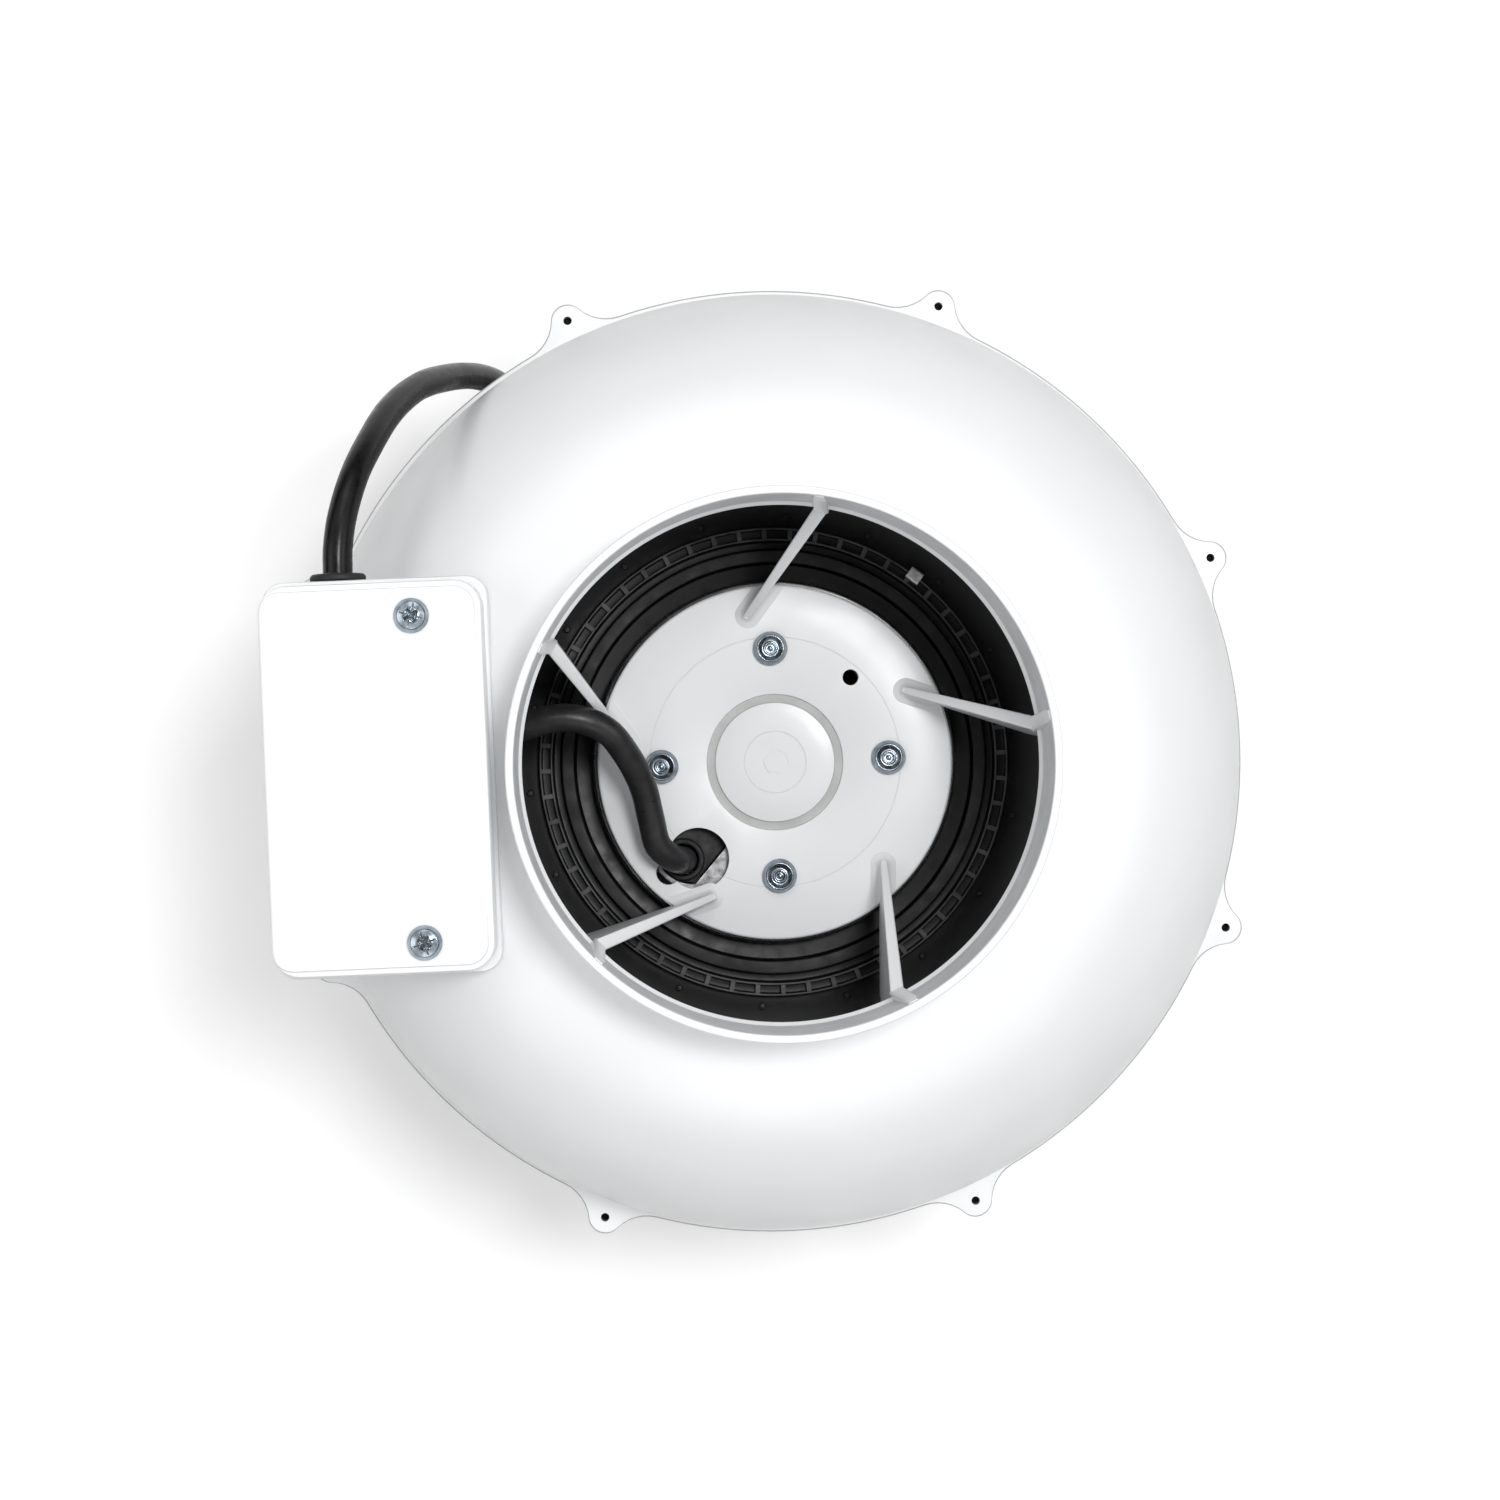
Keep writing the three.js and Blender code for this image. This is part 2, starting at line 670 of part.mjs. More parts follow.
function plugPin(side) {
  const start = plug.front + gap;
  const pin = revolve([
    [0, start], [2.4, start], [2.4, start + 17], [1.4, start + 19], [0, start + 19],
  ], 12);
  return alongX(pin, 0, plug.y + side * 9.5, plug.z);
}

// ---- assembly ----

addPart('outlet_casing', whitePlastic, outletCasing());
addPart('inlet_casing', whitePlastic, inletCasing());
addPart('inlet_nozzle', blackPlastic, inletNozzle());
for (let i = 0; i < earCount; i += 1) {
  addPart(`flange_screw_${i + 1}`, zincSteel, flangeScrew(earAngle + (i * 360) / earCount));
}
for (let i = 0; i < 4; i += 1) {
  addPart(`motor_screw_${i + 1}`, zincSteel, motorScrew(i * 90));
}

addPart('motor_flange', castAluminium, motorFlange());
addPart('stator_core', lamination, statorCore());
addPart('winding_upper', copper, winding(stator.top + gap, 113.5));
addPart('winding_lower', copper, winding(76.5, stator.bottom - gap));
addPart('bearing_upper_outer', steel, bearingRing(bearing.outerRace, bearing.outer, upperBearingZ));
addPart('bearing_upper_inner', steel, bearingRing(bearing.bore, bearing.innerRace, upperBearingZ));
addPart('bearing_upper_balls', steel, ballCage(upperBearingZ));
addPart('bearing_lower_outer', steel, bearingRing(bearing.outerRace, bearing.outer, lowerBearingZ));
addPart('bearing_lower_inner', steel, bearingRing(bearing.bore, bearing.innerRace, lowerBearingZ));
addPart('bearing_lower_balls', steel, ballCage(lowerBearingZ));
addPart('preload_washer', steel, revolve([[9.7, 83.3], [11, 83.3], [11, 84], [9.7, 84]], 20));
addPart('shaft', steel, shaft());
addPart('shaft_spacer', steel, revolve([[4.3, 73.3], [6, 73.3], [6, 75.7], [4.3, 75.7]], 20));
addPart('circlip', steel, circlip());
addPart('rotor_bell', blackPaint, rotorBell());
addPart('rotor_core', lamination, rotorCore());

addPart('impeller', blackPlastic, impeller());
addPart('impeller_shroud', blackPlastic, impellerShroud());
addPart('balance_clip', steel, balanceClip());

addPart('box_base', whitePlastic, boxBase());
addPart('box_seal', blackRubber, boxSeal());
addPart('box_lid', whitePlastic, boxLid());
addPart('lid_screw_1', zincSteel, lidScrew(-lidScrewY));
addPart('lid_screw_2', zincSteel, lidScrew(lidScrewY));
addPart('box_screw_1', zincSteel, boxScrewAt(-boxScrew.y));
addPart('box_screw_2', zincSteel, boxScrewAt(boxScrew.y));
addPart('capacitor', capacitorCase, capacitor());
addPart('terminal_block', greyPlastic, terminalBlock());
addPart('casing_grommet', blackRubber, casingGrommet());
addPart('cable_boot', blackRubber, portBoot());
addPart('motor_cable', blackCable, tube(motorCableRoute, cableR, 10, 6));

addPart('cable_gland', blackRubber, cableGland());
addPart('power_lead', blackCable, tube(leadRoute, leadR, 10, 12));
addPart('lead_hank', blackCable, hankSolid());
addPart('lead_tail', blackCable, tube(tailRoute, leadR, 10, 10));
addPart('cord_tie', blackRubber, cordTie());
addPart('power_plug', blackPlastic, plugBody());
addPart('plug_pin_1', brassPlate, plugPin(-1));
addPart('plug_pin_2', brassPlate, plugPin(1));

export default fan;
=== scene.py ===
"""Inline duct fan: the visual model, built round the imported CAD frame.

Shapes are worked out in millimetres in the frame of the CAD part and made in metres.
"""

import json
import math
import random

import bmesh
import bpy
from mathutils import Matrix, Vector

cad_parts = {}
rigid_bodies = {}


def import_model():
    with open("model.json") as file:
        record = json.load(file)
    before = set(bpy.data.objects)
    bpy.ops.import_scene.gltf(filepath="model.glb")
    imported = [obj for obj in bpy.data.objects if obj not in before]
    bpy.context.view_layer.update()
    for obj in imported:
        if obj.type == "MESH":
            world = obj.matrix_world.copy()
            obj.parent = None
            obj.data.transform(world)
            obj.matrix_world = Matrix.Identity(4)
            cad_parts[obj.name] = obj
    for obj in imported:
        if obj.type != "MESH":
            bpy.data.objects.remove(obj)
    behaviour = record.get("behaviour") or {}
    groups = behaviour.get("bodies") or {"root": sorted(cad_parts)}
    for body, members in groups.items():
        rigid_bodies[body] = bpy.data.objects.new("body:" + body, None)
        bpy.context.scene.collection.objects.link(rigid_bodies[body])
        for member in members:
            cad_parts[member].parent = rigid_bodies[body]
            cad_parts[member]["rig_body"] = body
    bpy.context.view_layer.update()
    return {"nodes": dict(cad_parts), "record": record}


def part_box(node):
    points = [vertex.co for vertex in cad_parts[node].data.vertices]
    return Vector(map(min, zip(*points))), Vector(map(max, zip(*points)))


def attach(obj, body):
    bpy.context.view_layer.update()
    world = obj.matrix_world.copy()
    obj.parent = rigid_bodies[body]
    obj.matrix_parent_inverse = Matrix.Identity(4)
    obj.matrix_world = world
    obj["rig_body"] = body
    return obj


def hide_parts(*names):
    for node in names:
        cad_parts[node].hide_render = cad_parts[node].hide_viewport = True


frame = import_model()

MM = 0.001

# ---- sizes, in millimetres ----

SPIGOT_R = 62.0
SPIGOT_BORE_R = 60.1
DOME_REACH = 58.0
WALL = 2.5
PARTING_GAP = 0.15
EAR_COUNT = 8
EAR_ANGLE = 22.5
EAR_R = 125.7
EAR_LOBE_R = 4.3
EAR_FILLET_R = 11.0

PLATE_R = 44.2
PLATE_TOP = 134.0
PLATE_BOTTOM = 131.0
VANE_COUNT = 5
MOTOR_SCREW_R = 28.3
MOTOR_SCREW_HOLE_R = 2.3
SPARE_HOLE_ANGLE, SPARE_HOLE_R = 45.9, 2
CABLE_HOLE = (-20.1, -23.2, 7.7)
CABLE_HOLE_LOBE = (-27.7, -26.4, 3.0)

POCKET_COUNT = 56
BLADE_COUNT = 11
IMPELLER_R = 95.0

LEAD_R = 3.5
CABLE_R = 3.4
GLAND = (-101.2, 176.0)
GROMMET = (5.0, 155.0)

WHITE = (0.83, 0.84, 0.85)
BLACK = (0.004, 0.004, 0.0043)
SHEATH = (0.005, 0.005, 0.0055)
WORN_SHEATH = (0.014, 0.0135, 0.0145)
RUBBER = (0.012, 0.012, 0.013)
PAINT = (0.006, 0.006, 0.0065)


def new_object(name, data):
    obj = bpy.data.objects.new(name, data)
    bpy.context.scene.collection.objects.link(obj)
    return obj


def low(node):
    return [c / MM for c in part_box(node)[0]]


def high(node):
    return [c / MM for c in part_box(node)[1]]


HEIGHT = high("outlet_casing")[2]
FLANGE_R = high("outlet_casing")[0]
PARTING = low("outlet_casing")[2] - PARTING_GAP
OUTLET_SHOULDER = HEIGHT - 27.0
INLET_SHOULDER = 27.0


# ---- camera ----

LEAN_RIGHT, LEAN_DOWN, CAMERA_TURN = 1.097, 0.114, -2.4
CAMERA_SPOT = (-0.0192, 0.0052, 0.822)
SENSOR, LENS = 36, 66.33


def make_camera():
    """Straight above the outlet, leaning a little to the image's right and down, and turned with it."""
    turn = math.radians(CAMERA_TURN)
    right = Vector((math.cos(turn), math.sin(turn), 0))
    up = Vector((-math.sin(turn), math.cos(turn), 0))
    look = Vector((0, 0, -1)) + right * math.tan(math.radians(LEAN_RIGHT)) - up * math.tan(math.radians(LEAN_DOWN))
    back = -look.normalized()
    side = (right - back * right.dot(back)).normalized()
    camera = new_object("camera", bpy.data.cameras.new("camera"))
    camera.data.sensor_width = SENSOR
    camera.data.lens = LENS
    camera.data.clip_start = 0.01
    axes = Matrix((side, back.cross(side), back)).transposed()
    camera.matrix_world = Matrix.Translation(CAMERA_SPOT) @ axes.to_4x4()
    bpy.context.scene.camera = camera


make_camera()


# ---- placing ----

def place(obj, slot, *nodes):
    """The piece stands for these CAD nodes and rides on their body."""
    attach(obj, frame["nodes"][nodes[0]]["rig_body"])
    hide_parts(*nodes)
    return obj


# ---- materials ----

def preset(node, inputs):
    for key, value in inputs.items():
        node.inputs[key].default_value = value


class Graph:
    """A node material in the making, with the links that every material here needs."""

    def __init__(self, name, color, roughness, metallic=0.0, coat=0.0, specular=0.5):
        self.material = bpy.data.materials.new(name)
        self.material.use_nodes = True
        self.tree = self.material.node_tree
        self.shader = self.tree.nodes["Principled BSDF"]
        preset(self.shader, {"Base Color": (*color, 1), "Roughness": roughness, "Metallic": metallic,
                             "Coat Weight": coat, "Coat Roughness": 0.12, "Specular IOR Level": specular})
        self.coordinates = self.add("ShaderNodeTexCoord").outputs["Object"]

    def add(self, kind, inputs=None, **values):
        node = self.tree.nodes.new(kind)
        for key, value in values.items():
            setattr(node, key, value)
        preset(node, inputs or {})
        return node

    def link(self, start, end):
        self.tree.links.new(start, end)

    def noise(self, scale, detail, distortion=0.0, stretch=(1, 1, 1)):
        """Noise with this many features per metre, squeezed along an axis by stretch."""
        mapping = self.add("ShaderNodeMapping", {"Scale": stretch})
        self.link(self.coordinates, mapping.inputs["Vector"])
        node = self.add("ShaderNodeTexNoise", {"Scale": scale, "Detail": detail, "Distortion": distortion})
        self.link(mapping.outputs["Vector"], node.inputs["Vector"])
        return node.outputs["Fac"]

    def wave(self, scale, direction):
        node = self.add("ShaderNodeTexWave", {"Scale": scale, "Distortion": 0.0}, bands_direction=direction)
        self.link(self.coordinates, node.inputs["Vector"])
        return node.outputs["Fac"]

    def radius(self):
        """The distance from the fan's axis."""
        flat = self.add("ShaderNodeVectorMath", {1: (1, 1, 0)}, operation="MULTIPLY")
        self.link(self.coordinates, flat.inputs[0])
        length = self.add("ShaderNodeVectorMath", operation="LENGTH")
        self.link(flat.outputs["Vector"], length.inputs[0])
        return length.outputs["Value"]

    def ramp(self, value, start, end, first, last):
        """Maps value from start..end to first..last, clamped."""
        node = self.add("ShaderNodeMapRange", {"From Min": start, "From Max": end, "To Min": first, "To Max": last})
        self.link(value, node.inputs["Value"])
        return node.outputs["Result"]

    def color(self, value, first, last, start=0.35, end=0.65):
        node = self.add("ShaderNodeValToRGB")
        stops = node.color_ramp.elements
        stops[0].position, stops[1].position = start, end
        stops[0].color, stops[1].color = (*first, 1), (*last, 1)
        self.link(value, node.inputs["Fac"])
        self.link(node.outputs["Color"], self.shader.inputs["Base Color"])

    def roughness(self, value, first, last, start=0.3, end=0.7):
        self.link(self.ramp(value, start, end, first, last), self.shader.inputs["Roughness"])

    def bump(self, value, depth, strength=1.0, after=None):
        """Bumps the surface by depth in millimetres, on top of the bump made before."""
        node = self.add("ShaderNodeBump", {"Distance": depth * MM, "Strength": strength})
        self.link(value, node.inputs["Height"])
        if after is not None:
            self.link(after, node.inputs["Normal"])
        self.link(node.outputs["Normal"], self.shader.inputs["Normal"])
        return node.outputs["Normal"]


def shade(color, factor):
    return tuple(min(1.0, c * factor) for c in color)


def surface(name, color, roughness, tint, gloss, grain, swell=None, **look):
    """A finished surface. Each of the last four starts with its noise. Then tint has the two colours that it
    runs between and where, gloss the least and the most roughness, and grain and swell a depth and strength.
    """
    graph = Graph(name, color, roughness, **look)
    graph.color(graph.noise(*tint[0]), *tint[1:])
    graph.roughness(graph.noise(*gloss[0]), *gloss[1:])
    fine = graph.bump(graph.noise(*grain[0]), *grain[1:])
    if swell:
        graph.bump(graph.noise(*swell[0]), *swell[1:], after=fine)
    return graph.material


def black_plastic(name="black_plastic", color=BLACK, roughness=0.34):
    return surface(name, color, roughness, ((70, 6, 0.6), color, shade(color, 2.2), 0.45, 0.8),
                   ((240, 5), roughness * 0.85, roughness * 1.4), ((1800, 3), 0.02, 0.5), ((90, 2), 0.15, 0.15),
                   specular=0.3)


def plain_plastic(name, color, roughness):
    return surface(name, color, roughness, ((120, 4), shade(color, 0.93), shade(color, 1.05)),
                   ((300, 4), roughness * 0.85, roughness * 1.2), ((1900, 3), 0.02, 0.5))


def metal(name, color, dark, roughness, scale, depth, stretch=(1, 1, 1)):
    return surface(name, color, roughness, ((scale, 6, 0, stretch), dark, color, 0.3, 0.7),
                   ((scale * 2, 5, 0, stretch), roughness * 0.75, roughness * 1.4),
                   ((scale * 4, 4, 0, stretch), depth, 0.5), metallic=1.0)


def painted_reflection_disc():
    """The wheel's plate, which is duller and greyer towards its rim: the grey is a painted reflection."""
    graph = Graph("painted_reflection_disc", BLACK, 0.4, specular=0.3)
    rim = graph.ramp(graph.radius(), 61 * MM, 68 * MM, 0, 1)
    graph.color(rim, (0.003, 0.003, 0.0032), (0.06, 0.06, 0.061), 0, 1)
    graph.roughness(graph.noise(240, 5), 0.35, 0.6)
    graph.bump(graph.noise(1500, 4), 0.04, 0.7)
    return graph.material


def strap_weave():
    color = (0.018, 0.018, 0.02)
    graph = Graph("tie_strap", color, 0.85, specular=0.2)
    preset(graph.shader, {"Sheen Weight": 0.4})
    graph.color(graph.noise(700, 3), color, (0.05, 0.05, 0.054), 0.35, 0.75)
    weft = graph.bump(graph.wave(420, "X"), 0.12, 0.6)
    graph.bump(graph.wave(420, "Y"), 0.12, 0.6, after=weft)
    return graph.material


def laminations():
    color = (0.34, 0.34, 0.35)
    graph = Graph("lamination", color, 0.45, metallic=1.0)
    sheets = graph.wave(315, "Z")
    graph.color(sheets, (0.07, 0.07, 0.075), color, 0.05, 0.3)
    graph.roughness(graph.noise(300, 4), 0.35, 0.6)
    graph.bump(sheets, 0.08, 0.7)
    return graph.material


def copper_wire():
    color = (0.62, 0.22, 0.06)
    graph = Graph("copper", color, 0.28, metallic=0.9, coat=0.5)
    strands = graph.noise(420, 2, 1.5, (1, 1, 3.2))
    graph.color(strands, (0.22, 0.06, 0.02), color, 0.32, 0.6)
    graph.bump(strands, 0.4, 0.8)
    return graph.material


MATERIALS = {
    "white_plastic": surface("white_plastic", WHITE, 0.34, ((22, 3), shade(WHITE, 0.985), shade(WHITE, 1.012)),
            ((60, 5), 0.3, 0.42), ((2600, 2), 0.012, 0.35), ((35, 2), 0.25, 0.12), coat=0.12),
    "black_plastic": black_plastic(),
    "black_cable": surface("black_cable", SHEATH, 0.26, ((120, 5, 1.0), SHEATH, shade(SHEATH, 2), 0.4, 0.75),
            ((300, 4), 0.2, 0.36), ((2200, 3), 0.02, 0.5), ((130, 2), 0.2, 0.2), specular=0.2),
    "black_rubber": surface("black_rubber", RUBBER, 0.6, ((200, 5), RUBBER, (0.022, 0.022, 0.024), 0.4, 0.75),
            ((500, 4), 0.48, 0.7), ((1600, 4), 0.03, 0.6), specular=0.35),
    "tie_strap": strap_weave(),
    "black_paint": surface("black_paint", PAINT, 0.2, ((90, 5), PAINT, (0.01, 0.01, 0.011), 0.4, 0.8),
            ((180, 5), 0.16, 0.34), ((420, 3), 0.04, 0.25), coat=0.6),
    "cast_aluminium": metal("cast_aluminium", (0.5, 0.5, 0.51), (0.13, 0.13, 0.135), 0.42, 520, 0.12),
    "zinc_steel": metal("zinc_steel", (0.4, 0.46, 0.51), (0.2, 0.235, 0.27), 0.2, 500, 0.02),
    "bearing_steel": metal("bearing_steel", (0.62, 0.62, 0.63), (0.42, 0.42, 0.43), 0.22, 300, 0.01, (1, 1, 8)),
    "lamination": laminations(),
    "copper": copper_wire(),
    "capacitor_case": plain_plastic("capacitor_case", (0.6, 0.6, 0.58), 0.45),
    "grey_plastic": plain_plastic("grey_plastic", (0.45, 0.46, 0.47), 0.5),
    "brass": metal("brass", (0.74, 0.6, 0.34), (0.55, 0.42, 0.2), 0.25, 260, 0.01),
}
MOTOR_SHEATH = surface("motor_cable_sheath", WORN_SHEATH, 0.32,
                       ((160, 6, 1.4), WORN_SHEATH, shade(WORN_SHEATH, 1.9), 0.38, 0.72),
                       ((260, 5), 0.24, 0.46), ((1500, 4), 0.03, 0.6), ((110, 2), 0.3, 0.2), specular=0.4)

# other finishes: the whites and blacks here are painted shade, a painted sheen, a painted highlight and a painted
# reflection on one moulding; the dark metal is painted shade on the screw tips
# painted sheen: a lighter black for the tops of the flat band on the wheel
SHEEN_PAINTED_BLACK = black_plastic("painted_sheen_black", (0.019, 0.0185, 0.019), 0.5)
# painted highlight: a lighter black for the tops of the pocket ring's walls and bars
HIGHLIGHT_PAINTED_BLACK = black_plastic("painted_highlight_black", (0.06, 0.06, 0.062), 0.45)
# painted reflection: the wheel's plate greys towards its rim
REFLECTION_PAINTED_DISC = painted_reflection_disc()
# painted shade: a greyer white for the floor of the plate's groove
SHADE_PAINTED_GROOVE = plain_plastic("painted_shade_groove", (0.53, 0.54, 0.53), 0.6)
# painted shade: a greyer white for the inside of the spigot
SHADE_PAINTED_WALL = plain_plastic("painted_shade_wall", (0.62, 0.63, 0.645), 0.4)
# painted shade: a grey outline on the flange's rounded outer edge
SHADE_PAINTED_EDGE = plain_plastic("painted_shade_edge", (0.42, 0.42, 0.43), 0.5)
# painted shade: a near-black metal for the screw tips in the ear holes
SHADE_PAINTED_TIP = metal("painted_shade_tip", (0.02, 0.02, 0.021), (0.008, 0.008, 0.008), 0.6, 500, 0.02)
CLIP_BRIGHT = metal("clip_bright", (0.9, 0.9, 0.91), (0.45, 0.45, 0.46), 0.45, 420, 0.02, (1, 1, 6))


# ---- mesh helpers ----

def polar(r, angle):
    return r * math.cos(math.radians(angle)), r * math.sin(math.radians(angle))


def arc(x, y, r, start, end, steps):
    spokes = (polar(r, start + (end - start) * i / steps) for i in range(steps + 1))
    return [(x + dx, y + dy) for dx, dy in spokes]


def soften(points, steps=5):
    """A closed outline of (x, y) or (x, y, r) points: a point with an r gets a round corner of that radius."""
    outline = []
    for i, point in enumerate(points):
        corner = Vector(point[:2])
        if len(point) < 3:
            outline.append(tuple(corner))
            continue
        before = (Vector(points[i - 1][:2]) - corner).normalized()
        after = (Vector(points[(i + 1) % len(points)][:2]) - corner).normalized()
        half = before.angle(after) / 2
        reach = point[2] / math.tan(half)
        middle = corner + (before + after).normalized() * (point[2] / math.sin(half))
        first = corner + before * reach - middle
        turn = first.angle_signed(corner + after * reach - middle)
        for step in range(steps + 1):
            outline.append(tuple(middle + Matrix.Rotation(-turn * step / steps, 2) @ first))
    return outline


def circle(x, y, r, steps):
    return arc(x, y, r, 0, 360 - 360 / steps, steps - 1)


def new_mesh(name, vertices, faces, material):
    """A mesh object from points in millimetres, of a slot's material or another one."""
    mesh = bpy.data.meshes.new(name)
    mesh.from_pydata([Vector(v) * MM for v in vertices], [], faces)
    shape = bmesh.new()
    shape.from_mesh(mesh)
    bmesh.ops.remove_doubles(shape, verts=shape.verts, dist=1e-7)
    bmesh.ops.recalc_face_normals(shape, faces=shape.faces)
    shape.to_mesh(mesh)
    shape.free()
    smooth(mesh)
    mesh.materials.append(MATERIALS.get(material, material))
    return new_object(name, mesh)


def smooth(mesh, sharp=32):
    """Smooth but for edges sharper than the angle."""
    mesh.polygons.foreach_set("use_smooth", [True] * len(mesh.polygons))
    mesh.set_sharp_from_angle(angle=math.radians(sharp))


def lathe(profile, steps, rounding=5):
    """A softened (r, z) profile turned about the Z axis."""
    return revolved(soften(profile, rounding), steps)


def revolved(profile, steps):
    """Points and faces of a closed (r, z) profile turned about the Z axis."""
    rims = (polar(1, 360 * i / steps) for i in range(steps))
    vertices, faces = lofted([[(r * c, r * s, z) for r, z in profile] for c, s in rims], closed=True)
    off_axis = [profile[k % len(profile)][0] > 0 for k in range(len(vertices))]
    return vertices, [face for face in faces if off_axis[face[0]] or off_axis[face[1]]]


def lofted(rings, closed=False):
    """Points and faces of rings of equal length: capped at both ends, or joined end to start."""
    n, count = len(rings[0]), len(rings)
    vertices = [p for ring in rings for p in ring]
    faces = []
    for i in range(count if closed else count - 1):
        k, m = i * n, (i + 1) % count * n
        faces += [(k + j, k + (j + 1) % n, m + (j + 1) % n, m + j) for j in range(n)]
    if not closed:
        faces += [tuple(range(n)), tuple(range((count - 1) * n, count * n))]
    return vertices, faces


def prism(outline, bottom, top):
    return lofted([[(x, y, z) for x, y in outline] for z in (bottom, top)])


def block(x0, x1, y0, y1, z0, z1):
    return prism([(x0, y0), (x1, y0), (x1, y1), (x0, y1)], z0, z1)


def about_z(angle):
    return Matrix.Rotation(math.radians(angle), 4, "Z")


def moved(shape, matrix):
    vertices, faces = shape
    return [tuple(matrix @ Vector(v)) for v in vertices], faces


def turned(shape, angle):
    return moved(shape, about_z(angle))


def along_y(shape, x, z):
    return moved(shape, Matrix.Translation((x, 0, z)) @ Matrix.Rotation(-math.pi / 2, 4, "X"))


def along_x(shape, y, z, way=1):
    return moved(shape, Matrix.Translation((0, y, z)) @ Matrix.Rotation(way * math.pi / 2, 4, "Y"))


def gathered(shapes):
    vertices, faces = [], []
    for points, polygons in shapes:
        start = len(vertices)
        vertices += points
        faces += [tuple(start + k for k in face) for face in polygons]
    return vertices, faces


def piece(name, shape, slot, node, material=None):
    return place(new_mesh(name, *shape, material or slot), slot, node)


def paint(obj, material, chosen):
    """Gives another material to the faces whose centre, as radius and height, is chosen."""
    obj.data.materials.append(material)
    for face in obj.data.polygons:
        x, y, z = face.center / MM
        if chosen(math.hypot(x, y), z):
            face.material_index = len(obj.data.materials) - 1


def bake(obj):
    """Applies the object's modifiers."""
    view = bpy.context.evaluated_depsgraph_get()
    mesh = bpy.data.meshes.new_from_object(obj.evaluated_get(view))
    obj.modifiers.clear()
    obj.data = mesh


def combine(obj, shape, operation):
    """Joins the shape to the piece, or cuts it from the piece."""
    tool = new_mesh("tool", *shape, obj.data.materials[0])
    modifier = obj.modifiers.new("combine", "BOOLEAN")
    modifier.operation = operation
    modifier.solver = "EXACT"
    modifier.object = tool
    bake(obj)
    bpy.data.objects.remove(tool)


def cut(obj, shape):
    combine(obj, shape, "DIFFERENCE")


def bevel(obj, width, segments, angle):
    modifier = obj.modifiers.new("bevel", "BEVEL")
    modifier.width = width * MM
    modifier.segments = segments
    modifier.angle_limit = math.radians(angle)
    return modifier


# ---- routes ----

def smooth_route(points, step=2.0):
    """The centripetal Catmull-Rom curve through the points, sampled about every step millimetres."""
    points = [Vector(p) for p in points]
    ends = [points[0] * 2 - points[1], *points, points[-1] * 2 - points[-2]]
    route = []
    for p0, p1, p2, p3 in zip(ends, ends[1:], ends[2:], ends[3:]):
        d0, d1, d2 = ((b - a).length ** 0.5 for a, b in ((p0, p1), (p1, p2), (p2, p3)))
        t1 = ((p1 - p0) / d0 - (p2 - p0) / (d0 + d1) + (p2 - p1) / d1) * d1
        t2 = ((p2 - p1) / d1 - (p3 - p1) / (d1 + d2) + (p3 - p2) / d2) * d1
        count = max(1, round((p2 - p1).length / step))
        for k in range(count):
            t = k / count
            a, b = p1 - p2, t1 + t2
            route.append(p1 + t1 * t - (a * 3 + t1 + b) * t ** 2 + (a * 2 + b) * t ** 3)
    route.append(points[-1])
    return route


def curve_tube(name, route, radius, material, sides=4):
    """One open spline through the route, as thick as the cable."""
    curve = bpy.data.curves.new(name, "CURVE")
    curve.dimensions = "3D"
    curve.bevel_depth = radius * MM
    curve.bevel_resolution = sides
    curve.use_fill_caps = True
    spline = curve.splines.new("POLY")
    spline.points.add(len(route) - 1)
    for point, place_mm in zip(spline.points, route):
        point.co = (*(place_mm * MM), 1)
    spline.use_smooth = True
    curve.materials.append(MATERIALS.get(material, material))
    return new_object(name, curve)


# ---- power lead ----

LEAD_ROUTE = [
    (-101.2, 48.6, 176), (-101, 54, 176), (-100, 61, 174.8), (-97.5, 71, 169.8), (-94.2, 80.2, 160.9),
    (-90.2, 89.8, 147.2), (-84.9, 97.4, 130.2), (-79.1, 101.7, 113), (-74, 103.8, 99), (-69.2, 104, 85),
    (-66.6, 103.2, 68), (-66, 102, 52), (-66.5, 100.5, 37), (-67.8, 95.6, 20.5), (-69.4, 84, 8.8), (-70.7, 67, 5),
]
TAIL_ROUTE = [
    (-71, -67, 16.3), (-69.6, -73, 12.6), (-66, -79.5, 9), (-59.5, -86.5, 6.6), (-50, -92.5, 5.8),
    (-38, -96.6, 6.8), (-20.8, -98, 8),
]
HANK_X = -92.5
HANK_BEND_R = 21.5
HANK_STRAIGHT = 48.5
HANK_TURNS = 2


def hank_route():
    """Turns of the folded lead, one on the other: each climbs by its thickness on the +Y fold."""
    route = []
    x, r, y = HANK_X, HANK_BEND_R, HANK_STRAIGHT
    height = low("lead_hank")[2] + LEAD_R
    for turn in range(HANK_TURNS):
        z = height + turn * 2 * LEAD_R
        route += [Vector((x + r, s, z)) for s in (y, y / 3, -y / 3, -y)]
        route += [Vector((*p, z)) for p in arc(x, -y, r, 0, -180, 12)[1:]]
        route += [Vector((x - r, s, z)) for s in (-y / 3, y / 3, y)]
        fold = arc(x, y, r, 180, 0, 12)[1:-1]
        for k, p in enumerate(fold, 1):
            share = k / (len(fold) + 1)
            route.append(Vector((*p, z + 2 * LEAD_R * share ** 2 * (3 - 2 * share))))
    z = height + HANK_TURNS * 2 * LEAD_R
    route += [Vector((x + r, s, z)) for s in (y, y / 3, -y / 3, -y, -y - 9)]
    return route


